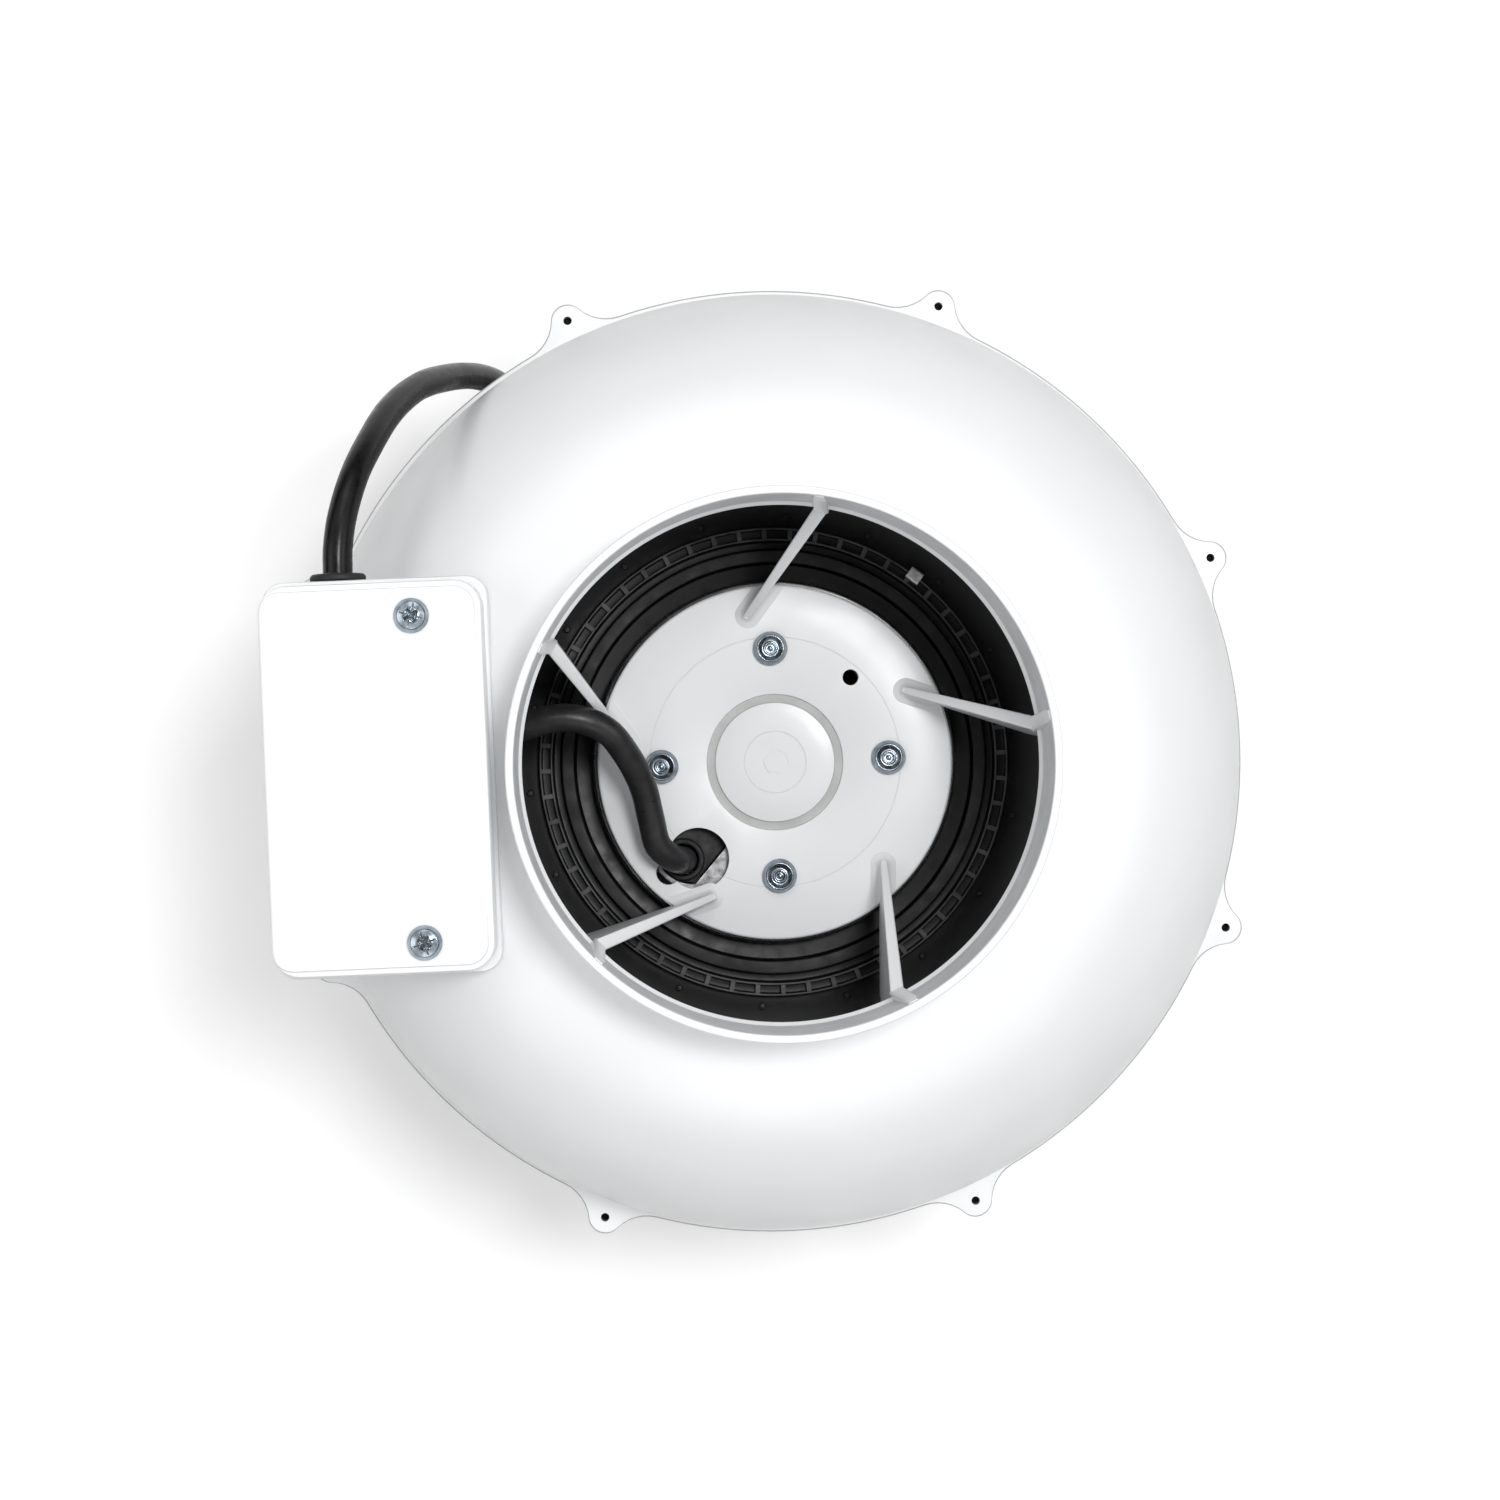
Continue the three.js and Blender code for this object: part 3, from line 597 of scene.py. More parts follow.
def make_lead():
    control = [Vector(p) for p in LEAD_ROUTE] + hank_route() + [Vector(p) for p in TAIL_ROUTE]
    route = smooth_route(control)
    length = sum((b - a).length for a, b in zip(route, route[1:]))
    lead = curve_tube("power_lead_cable", route, LEAD_R, "black_cable")
    place(lead, "black_cable", "power_lead", "lead_hank", "lead_tail")
    return lead, length * MM


lead_cable, LEAD_LENGTH = make_lead()


# ---- casing ----

def dome_curve(inset, side, steps=40):
    """A quarter ellipse from the parting plane to the spigot, moved in by inset: side 1 is the outlet half."""
    base = PARTING + side * PARTING_GAP
    crown = OUTLET_SHOULDER if side > 0 else INLET_SHOULDER
    rise = crown - side * inset - base
    return [(SPIGOT_R + (DOME_REACH - inset) * x, base + rise * y) for x, y in arc(0, 0, 1, 0, 86, steps)]


def flange_edge(steps=6):
    """The flange's outline: a circle with an ear at each screw, blended on both flanks."""
    blend_r = FLANGE_R + EAR_FILLET_R
    reach = EAR_LOBE_R + EAR_FILLET_R
    cosine = (EAR_R ** 2 + blend_r ** 2 - reach ** 2) / (2 * EAR_R * blend_r)
    spread = math.degrees(math.acos(cosine))
    pitch = 360 / EAR_COUNT
    outline = []
    for i in range(EAR_COUNT):
        angle = EAR_ANGLE + i * pitch
        ear = Vector(polar(EAR_R, angle))
        before, after = polar(blend_r, angle - spread), polar(blend_r, angle + spread)
        toward = Vector(after) - ear
        turn = (math.degrees(math.atan2(toward.y, toward.x)) - angle) % 360
        outline += arc(*before, EAR_FILLET_R, angle - spread + 180, angle - turn + 180, steps)[:-1]
        outline += arc(*ear, EAR_LOBE_R, angle - turn, angle + turn, 3 * steps)
        outline += arc(*after, EAR_FILLET_R, angle + turn + 180, angle + spread + 180, steps)[1:-1]
        outline += arc(0, 0, FLANGE_R, angle + spread, angle + pitch - spread, 4 * steps)[:-1]
    return outline


def flange_ring(bottom, top, edge=0.8):
    """The flange with its ears, rounded along the outer edge and running in under the dome."""
    inner = DOME_REACH + SPIGOT_R - 1.5
    rings = []
    for x, y in flange_edge():
        r = math.hypot(x, y)
        ring = [(inner, bottom), (r - edge, bottom), (r, bottom + edge), (r, top - edge),
                *arc(r - edge, top - edge, edge, 15, 90, 5), (inner, top)]
        rings.append([(x / r * a, y / r * a, z) for a, z in ring])
    return lofted(rings, closed=True)


def drill(obj, holes, bottom, top, steps=32):
    """Cuts round holes, each x, y and radius, all at once."""
    cut(obj, gathered([prism(circle(*hole, steps), bottom, top) for hole in holes]))


def ear_holes(r):
    return [(*polar(EAR_R, EAR_ANGLE + i * 360 / EAR_COUNT), r) for i in range(EAR_COUNT)]


MOTOR_HOLES = [(*polar(MOTOR_SCREW_R, SPARE_HOLE_ANGLE), SPARE_HOLE_R)]
MOTOR_HOLES += [(*polar(MOTOR_SCREW_R, 90 * i), MOTOR_SCREW_HOLE_R) for i in range(4)]


VANE_ROOT = polar(37, 26.4)
VANE_TIP = polar(60, 6.5)
VANE_RUN = math.dist(VANE_ROOT, VANE_TIP)
RIDGE_LOW = 136.0
RIDGE_HIGH = 182.5
VANE_WEB = 0.9
RIB_TOP = HEIGHT - 1.5
RIB_LEAN = 1.7


def ridge_height(s):
    return RIDGE_LOW + (RIDGE_HIGH - RIDGE_LOW) * (s + 1) / (VANE_RUN + 1.8)


def vane_web():
    """The fin under the ridge, out to the dome: s runs from the root to the tip, and y across."""
    side = soften([(-1, 131.6), (33, 131.6), (44, 179.5), (34, 181.2), (VANE_RUN + 0.8, RIDGE_HIGH - 0.8),
                   (-1, RIDGE_LOW - 0.8, 0.6)])
    return lofted([[(s, y, z) for s, z in side] for y in (-VANE_WEB, VANE_WEB)])


def vane_cap(steps=24):
    """The bead along the ridge: thin at the root, wider and higher towards the spigot."""
    rings = []
    for i in range(steps + 1):
        share = i / steps
        s = -1 + (VANE_RUN + 1.8) * share
        half = 0.85 + 0.75 * share
        deep = 1.6 + 0.9 * share
        top = ridge_height(s)
        right = [(half * 0.82, -deep), (half, -deep + 0.3), (half, -0.55), (half * 0.85, -0.16), (half * 0.5, 0)]
        left = [(-y, z) for y, z in reversed(right)]
        rings.append([(s, y, top + z) for y, z in (left[-1], *right, *left[:-1])])
    return lofted(rings)


def vane_flare():
    """The concave fillet where the web stands on the motor plate."""
    rings = []
    for spread, z in ((2.6, -0.25), (2.3, 0.02), (1.35, 0.35), (0.65, 0.95), (0.2, 1.9), (-0.05, 2.8)):
        half = VANE_WEB + spread
        ring = [*arc(0.2, 0, half, 90, 270, 14), (16, -half), (16, half)]
        rings.append([(s, y, PLATE_TOP + z) for s, y in ring])
    return lofted(rings)


def vane_rib(steps=8):
    """The rib that carries the ridge up the inside of the spigot, leaning a little round it."""
    rings = []
    for i in range(steps + 1):
        share = i / steps
        z = RIDGE_HIGH - 1.5 + (RIB_TOP - RIDGE_HIGH + 1.5) * share
        front, half = 58.9 + 0.6 * share, 1.75 - 0.2 * share
        if i == steps:
            front, half = front + 0.4, half - 0.4
        outline = soften([(front, -half, 0.3), (61, -half - 0.1), (61, half + 0.1), (front, half, 0.3)], 3)
        lean = about_z(6.5 + RIB_LEAN * share)
        rings.append([tuple(lean @ Vector((r, y, z))) for r, y in outline])
    return lofted(rings)


def round_the_axis(shape):
    return gathered([turned(shape, 360 / VANE_COUNT * i) for i in range(VANE_COUNT)])


def make_vanes():
    """The five vanes, and the fillets at their feet, cut off at the plate's edge."""
    lean = math.atan2(VANE_TIP[1] - VANE_ROOT[1], VANE_TIP[0] - VANE_ROOT[0])
    lay = Matrix.Translation((*VANE_ROOT, 0)) @ Matrix.Rotation(lean, 4, "Z")
    fin = gathered([moved(gathered([vane_web(), vane_cap()]), lay), vane_rib()])
    fins = new_mesh("vanes", *round_the_axis(fin), "white_plastic")
    feet = new_mesh("vane_feet", *round_the_axis(moved(vane_flare(), lay)), "white_plastic")
    low_z, high_z = PLATE_TOP - 0.2, PLATE_TOP + 5
    disc = revolved([(0, low_z), (PLATE_R - 0.55, low_z), (PLATE_R - 0.9, high_z), (0, high_z)], 160)
    combine(feet, disc, "INTERSECT")
    return fins, feet


def motor_plate():
    """The round plate that the motor hangs from, with its register groove, fine rings and holes."""
    top = PLATE_TOP
    outer_line, inner_line = ([(r + 0.16, top), (r, top - 0.1), (r - 0.16, top)] for r in (31.2, 7.7))
    profile = [(0, PLATE_BOTTOM), (PLATE_R, PLATE_BOTTOM, 0.4), (PLATE_R, top, 0.7), *outer_line, (17, top, 0.12),
               (16.9, 133.2, 0.15), (14.9, 133.2, 0.15), (14.8, top, 0.12), *inner_line, (0, top)]
    plate = new_mesh("plate", *lathe(profile, 160, 4), "white_plastic")
    drill(plate, [CABLE_HOLE, *MOTOR_HOLES], PLATE_BOTTOM - 1, top + 1, 64)
    drill(plate, [CABLE_HOLE_LOBE], PLATE_BOTTOM - 1, top + 1, 48)
    gate = random.Random(7)
    for r, z0, z1, operation in ((3.3, top - 0.3, top + 1, "DIFFERENCE"), (2.7, top - 1, top + 0.05, "UNION")):
        ragged = [polar(r + gate.uniform(-0.3, 0.3), 360 * i / 40) for i in range(40)]
        combine(plate, prism(ragged, z0, z1), operation)
    # painted shade: the groove's floor is a greyer white
    paint(plate, SHADE_PAINTED_GROOVE, lambda r, z: 14.7 < r < 17.1 and PLATE_TOP - 1 < z < PLATE_TOP - 0.5)
    return plate


def joined(first, *others):
    """All the objects as one, each face keeping its material."""
    mesh = bmesh.new()
    for obj in (first, *others):
        count = len(mesh.faces)
        mesh.from_mesh(obj.data)
        mesh.faces.ensure_lookup_table()
        for material in obj.data.materials:
            if material.name not in first.data.materials:
                first.data.materials.append(material)
        index = [first.data.materials.find(material.name) for material in obj.data.materials]
        for face in mesh.faces[count:]:
            face.material_index = index[face.material_index]
    mesh.to_mesh(first.data)
    mesh.free()
    for obj in others:
        bpy.data.objects.remove(obj)
    smooth(first.data)
    return first


def make_outlet_casing():
    profile = [*dome_curve(0, 1), (63, 183.6), (SPIGOT_R, 185, 1.2), (SPIGOT_R, HEIGHT, 0.75),
               (SPIGOT_BORE_R, HEIGHT, 0.6), (SPIGOT_BORE_R + 0.5, 184.0, 0.3), (SPIGOT_BORE_R - 0.4, 182.7, 0.3),
               *reversed(dome_curve(WALL, 1))]
    shell = new_mesh("outlet_shell", *lathe(profile, 192), "white_plastic")
    cut(shell, along_x(prism(circle(0, 0, 5.6, 48), -112, -92), *GROMMET))
    bore = SPIGOT_BORE_R
    # painted shade: the spigot's inner wall is a greyer white
    paint(shell, SHADE_PAINTED_WALL, lambda r, z: bore - 0.1 < r < bore + 0.7 and 184.2 < z < HEIGHT - 1)
    ring = new_mesh("outlet_flange", *flange_ring(PARTING + PARTING_GAP, PARTING + 3), "white_plastic")
    drill(ring, ear_holes(1.1), 100, 110, 24)
    # painted shade: the flange's rounded outer edge is grey
    paint(ring, SHADE_PAINTED_EDGE, lambda r, z: r > FLANGE_R - 2 and z < PARTING + 2.85)
    place(joined(shell, ring, motor_plate(), *make_vanes()), "white_plastic", "outlet_casing")


def make_inlet_casing():
    top = PARTING - PARTING_GAP
    lip = PARTING + 2.5
    profile = [(SPIGOT_BORE_R, 0, 0.6), (SPIGOT_R, 0, 0.75), (SPIGOT_R, 25, 1.2), (63, 26.4),
               *reversed(dome_curve(0, -1)), (116.7, top), (116.7, lip, 0.3), (115.1, lip, 0.3), (115.1, 98),
               *dome_curve(WALL, -1)[3:], (SPIGOT_BORE_R, 27.6, 0.5)]
    shell = new_mesh("inlet_shell", *lathe(profile, 192), "white_plastic")
    ring = new_mesh("inlet_flange", *flange_ring(PARTING - 3, top), "white_plastic")
    drill(ring, ear_holes(1.75), 98, 106, 24)
    place(joined(shell, ring), "white_plastic", "inlet_casing")


make_outlet_casing()
make_inlet_casing()

nozzle = [(60.3, 32.8, 0.3), (73, 32.8, 0.4), (73, 34.6, 0.4), (62, 34.6, 3), (55.6, 40, 6), (52, 48.5, 8),
          (52, 56, 0.5), (50.5, 56, 0.5), (50.5, 48, 8), (54.2, 39, 5)]
piece("inlet_bell_mouth", lathe(nozzle, 144, 8), "black_plastic", "inlet_nozzle")


# ---- screws ----

def cross(screw, arm, turn=0):
    """Cuts two arms across each other into the screw's head."""
    for angle in (0, 90):
        cut(screw, turned(arm, angle + turn))
    return screw


def turned_screw(name, profile, steps, seat=0.0, rounding=4):
    """A screw of an (r, z) profile that is measured from its seat."""
    raised = [(r, seat + z, *corner) for r, z, *corner in profile]
    return new_mesh(name, *lathe(raised, steps, rounding), "zinc_steel")


def flange_screw():
    """A small pan head, met from below, with a cross recess."""
    screw = turned_screw("flange_screw", [
        (0, 97), (1.3, 97), (2.4, 97.3, 0.5), (3.2, 99.7, 0.2), (1.45, 99.7), (1.45, 102.9), (0.8, 102.9),
        (0.8, 103.6), (0, 103.6)], 32)
    cross(screw, block(-1.6, 1.6, -0.32, 0.32, 96, 98.2))
    # painted shade: the tips under the ears are near black
    paint(screw, SHADE_PAINTED_TIP, lambda r, z: z > 102.8)
    return screw


def motor_screw():
    """A flanged head with a dished face and a round socket that has a pin in its middle."""
    seat = PLATE_TOP + 0.3
    return turned_screw("motor_screw", [
        (0, 124 - seat), (2, 124 - seat, 0.2), (2, 0), (4.25, 0, 0.2), (4.25, 0.7, 0.25), (3.5, 2.2, 0.3),
        (3.2, 2.6, 0.25), (2.75, 2.2, 0.5), (1.8, 1.5, 0.4), (1.6, 1.9, 0.2), (1.25, 1.9, 0.2), (1.1, 0.7, 0.1),
        (0.62, 0.7, 0.1), (0.55, 2, 0.3), (0, 2.1)], 64, seat)


def lid_screw():
    """A domed head with a cross recess and four ticks between its arms."""
    seat = high("box_lid")[2] + 0.3
    screw = turned_screw("lid_screw", [
        (0, 177 - seat), (1.2, 177 - seat), (1.8, 178.5 - seat), (1.8, 0), (4, 0, 0.15), (4, 0.4, 0.2),
        (3.4, 1.4, 0.2), (3.1, 1.75, 0.4), (1.8, 2.2, 2), (0, 2.2)], 64, seat, 5)
    arm = [[(-half, -0.42, z), (half, -0.42, z), (half, 0.42, z), (-half, 0.42, z)]
           for half, z in ((1.2, seat + 0.6), (2.35, seat + 3))]
    cross(screw, lofted(arm), 20)
    tick = block(1.1, 2.5, -0.13, 0.13, seat + 1.95, seat + 3)
    cut(screw, gathered([turned(tick, angle + 65) for angle in range(0, 360, 90)]))
    return screw


def box_screw():
    screw = turned_screw("box_screw", [
        (0, 174), (1.4, 174.6), (1.4, 183.9), (3, 183.9, 0.2), (3, 184.9, 0.4), (2.2, 185.6, 0.6), (0, 185.6)], 40)
    return cross(screw, block(-1.5, 1.5, -0.3, 0.3, 184.7, 187))


def set_screws(pattern, spots):
    """Copies of one screw, each at its node's place and turned its own way."""
    turns = random.Random(3)
    for node, (x, y) in spots.items():
        screw = new_object(node + "_detailed", pattern.data.copy())
        turn = Matrix.Rotation(turns.uniform(0, math.pi), 4, "Z")
        screw.data.transform(Matrix.Translation((x * MM, y * MM, 0)) @ turn)
        place(screw, "zinc_steel", node)
    bpy.data.objects.remove(pattern)


def middle(node):
    return [(a + b) / 2 for a, b in zip(low(node), high(node))][:2]


set_screws(flange_screw(), {f"flange_screw_{i + 1}": polar(EAR_R, EAR_ANGLE + 45 * i) for i in range(8)})
set_screws(motor_screw(), {f"motor_screw_{i + 1}": polar(MOTOR_SCREW_R, 90 * i) for i in range(4)})
for kind, pattern in (("lid_screw", lid_screw()), ("box_screw", box_screw())):
    set_screws(pattern, {f"{kind}_{i}": middle(f"{kind}_{i}") for i in (1, 2)})


# ---- motor ----

PORT = (-21.5, -20.5)
PORT_R = 9.2
PORT_FLAT = 6.5
PORT_FACING = -42
PORT_BORE = (-23.9, -23.5)


def port_outline(inset, steps=40):
    r = PORT_R - inset
    spread = math.degrees(math.acos((PORT_FLAT - inset) / r))
    return arc(*PORT, r, PORT_FACING + spread, PORT_FACING + 360 - spread, steps)


def make_motor_flange():
    """The casting that carries the stator: a tube with a bearing seat at each end under a round plate."""
    profile = [(11.3, 74, 0.3), (14, 74, 0.4), (14, 122.5, 2), (16, 124.5, 1.5), (40, 124.5, 0.5), (40, 130.7, 0.5),
               (11.3, 130.7, 0.4), (11.3, 113.7, 0.1), (9.6, 113.7), (9.6, 84.3), (11.3, 84.3, 0.1)]
    casting = new_mesh("flange_casting", *lathe(profile, 128), "cast_aluminium")
    cut(casting, prism(port_outline(0), 120, 132))
    drill(casting, MOTOR_HOLES, 120, 132)
    smooth(casting.data)
    place(casting, "cast_aluminium", "motor_flange")


def make_boot():
    """The rubber plug in the casting's port, with a lip round the cable."""
    top = high("cable_boot")[2]
    bottom = low("cable_boot")[2]
    levels = ((0.6, bottom), (0.3, bottom + 0.3), (0.3, top - 1.3), (0.45, top - 1.0), (0.8, top - 0.9))
    rings = [[(x, y, z) for x, y in port_outline(inset)] for inset, z in levels]
    boot = new_mesh("port_boot", *lofted(rings), "black_rubber")
    drill(boot, [(*PORT_BORE, 3.9)], bottom - 1, top + 1, 48)
    lip = soften([(3.9, top - 1.5), (5.6, top - 1.5), (5.2, top, 0.6), (3.9, top, 0.5)], 4)
    ring = new_mesh("boot_lip", *moved(revolved(lip, 64), Matrix.Translation((*PORT_BORE, 0))),
                    "black_rubber")
    place(joined(boot, ring), "black_rubber", "cable_boot")


make_motor_flange()
make_boot()


def turned_piece(node, slot, profile, steps=96):
    piece(node + "_turned", lathe(profile, steps), slot, node)


def band(inner, outer, bottom, top, corner):
    return [(inner, bottom, corner), (outer, bottom, corner), (outer, top, corner), (inner, top, corner)]


def make_balls(node, bottom):
    """Seven balls in a pressed cage."""
    centre = bottom + 3.5
    shape = bmesh.new()
    for i in range(7):
        spot = Matrix.Translation((*polar(7.5, 360 / 7 * i), centre))
        bmesh.ops.create_uvsphere(shape, u_segments=20, v_segments=12, radius=1.98, matrix=spot)
    shape.verts.index_update()
    balls = ([tuple(v.co) for v in shape.verts], [tuple(v.index for v in f.verts) for f in shape.faces])
    shape.free()
    cage = lathe(band(7, 8, centre - 0.8, centre + 0.8, 0.2), 64)
    piece(node + "_fine", gathered([balls, cage]), "bearing_steel", node)


def make_winding(node):
    """One end of the winding: twelve coil heads side by side, each a fat bow of wire."""
    bottom, top = low(node)[2], high(node)[2]
    centre, rise = (bottom + top) / 2, (top - bottom) / 2
    rings = []
    steps = 240
    for i in range(steps):
        angle = 360 * i / steps
        swell = abs(math.cos(math.radians(6 * angle))) ** 0.5
        c, s = polar(1, angle)
        ring = [(24.5 + (5.6 + 1.7 * swell) * x, centre + rise * (0.72 + 0.26 * swell) * y)
                for x, y in circle(0, 0, 1, 24)]
        rings.append([(r * c, r * s, z) for r, z in ring])
    piece(node + "_coils", lofted(rings, closed=True), "copper", node)


for level, base in (("upper", 114), ("lower", 76)):
    turned_piece(f"bearing_{level}_outer", "bearing_steel", band(9.8, 11, base, base + 7, 0.3))
    turned_piece(f"bearing_{level}_inner", "bearing_steel", band(4.3, 5.2, base, base + 7, 0.3))
    make_balls(f"bearing_{level}_balls", base)
    make_winding(f"winding_{level}")
turned_piece("preload_washer", "bearing_steel", band(9.7, 11, 83.3, 84, 0.1))
turned_piece("shaft_spacer", "bearing_steel", band(4.3, 6, 73.3, 75.7, 0.2))
turned_piece("shaft", "bearing_steel", [
    (0, 58), (3.4, 58), (4, 58.6), (4, 121.2, 0.1), (3.3, 121.2), (3.3, 122.4), (4, 122.4), (3.6, 123), (0, 123)])
turned_piece("rotor_core", "lamination", band(34.6, 42.3, 82, 108, 0.2))
turned_piece("rotor_bell", "black_paint", [
    (4.3, 61, 0.3), (42, 61, 2), (45.6, 64.5, 3), (45.6, 123.5, 0.3), (45.8, 124, 0.3), (45.8, 126, 0.7),
    (42.6, 126, 0.5), (42.6, 66, 1.5), (40.5, 64, 1), (10, 64, 1), (10, 73, 0.5), (4.3, 73, 0.3)], 144)


# ---- impeller ----

def shroud_height(r):
    """The shroud's guiding face, outside the mouth."""
    points = [(53, 56), (55, 62), (61, 67), (74, 70.4), (IMPELLER_R, 72)]
    for (r0, z0), (r1, z1) in zip(points, points[1:]):
        if r <= r1:
            return z0 + (z1 - z0) * (r - r0) / (r1 - r0)
    return points[-1][1]


def blade(steps=16):
    rings = []
    for i in range(steps + 1):
        share = i / steps
        r = 57 + (IMPELLER_R - 57.5) * share
        angle = -32 * share ** 1.3
        half = math.degrees(1 / r) * (0.45 if i in (0, steps) else 1)
        foot = shroud_height(r) + 0.25
        rings.append([(*polar(r, angle - half), foot), (*polar(r, angle + half), foot),
                      (*polar(r, angle + half), 118.4), (*polar(r, angle - half), 118.4)])
    return lofted(rings)


def impeller_shapes():
    """The hub, back plate and balancing pockets in one profile, then the pockets' bars, pips and blades."""
    profile = [(45.9, 72, 0.3), (48, 72, 0.3), (48, 118, 2), (IMPELLER_R, 118, 0.6), (IMPELLER_R, 119.6, 0.6),
               (68, 119.6, 20), (62, 121, 14), (59.4, 121, 0.5), (59.15, 124, 0.18), (58.7, 124, 0.18),
               (58.5, 122, 0.2), (56.6, 122, 0.2), (56.4, 124, 0.18), (55.95, 124, 0.18), (55.7, 121, 0.4),
               (53.8, 121, 0.4), (53.5, 124, 0.45), (50.4, 124, 0.45), (50.1, 121, 0.4), (45.9, 120.5, 0.2)]
    shapes = [lathe(profile, 168)]
    for i in range(POCKET_COUNT):
        shapes.append(turned(block(56.3, 58.8, -0.55, 0.55, 121.9, 123.85), 360 / POCKET_COUNT * i))
    pip = revolved(soften([(0, 120.8), (0.85, 120.8), (0.75, 121.7, 0.3), (0, 121.7)], 4), 20)
    for i in range(18):
        shapes.append(moved(pip, Matrix.Translation((*polar(62.1, 20 * i + 5), 0))))
    shapes += [turned(blade(), 360 / BLADE_COUNT * i) for i in range(BLADE_COUNT)]
    return shapes


wheel = piece("impeller_wheel", gathered(impeller_shapes()), "black_plastic", "impeller")
# painted reflection: the plate greys towards its rim
paint(wheel, REFLECTION_PAINTED_DISC, lambda r, z: r > 59.6 and z > 119)
# painted sheen: the band's tops are a lighter black
paint(wheel, SHEEN_PAINTED_BLACK, lambda r, z: 50.4 < r < 53.6 and z > 123.8)
# painted highlight: the tops of the pocket ring's walls and bars are a lighter black
paint(wheel, HIGHLIGHT_PAINTED_BLACK, lambda r, z: 55.8 < r < 59.4 and z > 123.6)
piece("impeller_mouth_ring", revolved(soften([
    (IMPELLER_R, 72, 0.5), (74, 70.4, 20), (61, 67, 6), (55, 62, 4), (53, 56, 5), (53, 48, 0.7), (55, 48, 0.7),
    (55, 55.4, 4), (57, 61, 4), (62, 65.2, 6), (74.4, 68.4, 20), (IMPELLER_R, 70, 0.5)], 8), 168),
    "black_plastic", "impeller_shroud")


# ---- terminal box ----

def rounded_ring(edges, r, inset=0.0, arc_steps=8, side_steps=10):
    """A rounded rectangle's points, moved in by inset, with points along its sides too."""
    left, right, front, back = (edge + sign * inset for edge, sign in zip(edges, (1, -1, 1, -1)))
    r = max(r - inset, 0.3)
    corners = [(right - r, back - r, 0), (left + r, back - r, 90), (left + r, front + r, 180),
               (right - r, front + r, 270)]
    arcs = [arc(x, y, r, start, start + 90, arc_steps) for x, y, start in corners]
    ring = []
    for run, following in zip(arcs, [*arcs[1:], arcs[0]]):
        ring += run
        (x0, y0), (x1, y1) = run[-1], following[0]
        ring += [(x0 + (x1 - x0) * k / side_steps, y0 + (y1 - y0) * k / side_steps) for k in range(1, side_steps)]
    return ring


def box_block(edges, r, levels, closed=False):
    """A rounded block built of (inset, z) levels."""
    return lofted([[(x, y, z) for x, y in rounded_ring(edges, r, inset)] for inset, z in levels], closed)


def edges_of(node):
    (left, front, bottom), (right, back, top) = low(node), high(node)
    return (left, right, front, back), bottom, top


def dome_solid(clearance):
    """The casing's outer surface grown by clearance, to cut with."""
    reach = SPIGOT_R + DOME_REACH + clearance
    top = OUTLET_SHOULDER + clearance + 0.4
    return revolved([(0, 90), (reach, 90), *dome_curve(-clearance, 1), (SPIGOT_R, top), (0, top)], 144)


LID_SCREW_X, LID_SCREW_Y = middle("lid_screw_2")
LID_STEP = 1.4
LID_STEP_DROP = 1.3
LID_CORNER = 6.3
LEFT_ROLL = 2.4
RIGHT_ROLL = 8.5
BOX_WALL = 2.2
RIM_WIDTH = 4.9
RIM_BOTTOM = 181.5


def lid_circles(r):
    return [(LID_SCREW_X, y, r) for y in (-LID_SCREW_Y, LID_SCREW_Y)]


def lid_posts(bottom, top):
    return gathered([prism(circle(*spot, 32), bottom, top) for spot in lid_circles(4)])


def make_box_base():
    edges, bottom, top = edges_of("box_base")
    outer = box_block(edges, 5, [(2, bottom), (0.6, bottom + 0.5), (0, bottom + 2), (0, top - 0.6), (0.2, top - 0.15),
                                 (0.6, top)])
    base = new_mesh("box_tray", *outer, "white_plastic")
    levels = [(BOX_WALL, bottom + BOX_WALL), (BOX_WALL, RIM_BOTTOM), (RIM_WIDTH, RIM_BOTTOM), (RIM_WIDTH, top + 5)]
    inner = new_mesh("tray_hollow", *box_block(edges, 5, levels), "white_plastic")
    cut(inner, dome_solid(WALL))
    hollow = ([tuple(v.co / MM) for v in inner.data.vertices], [tuple(f.vertices) for f in inner.data.polygons])
    bpy.data.objects.remove(inner)
    cut(base, hollow)
    combine(base, gathered([lid_posts(160, top), block(-95, -81, 9, 29, 150, 181.7)]), "UNION")
    cut(base, dome_solid(0.3))
    cut(base, along_x(prism(circle(0, 0, 8.5, 48), -115, -96), *GROMMET))
    cut(base, along_y(prism(circle(0, 0, 5.5, 48), 42, 48), *GLAND))
    drill(base, lid_circles(2.1), 174, top + 1)
    drill(base, [(*middle(node), 1.7) for node in ("box_screw_1", "box_screw_2")], 170, 190)
    smooth(base.data)
    place(base, "white_plastic", "box_base")


def face_fall(x, y, edges):
    """How far the lid's face has dropped: it rolls off at both sides, in a lens shape on the duct's side."""
    left, right, front, back = edges
    lens = 1 - ((y - (front + back) / 2) / ((back - front) / 2 - LID_STEP)) ** 2
    width = RIGHT_ROLL * (0.25 + 0.75 * max(lens, 0))
    near = max(0.0, 1 - (x - left) / LEFT_ROLL)
    far = max(0.0, 1 - (right - LID_STEP - x) / width)
    return 0.6 * near ** 2 + 2.2 * max(lens, 0) * far ** 2


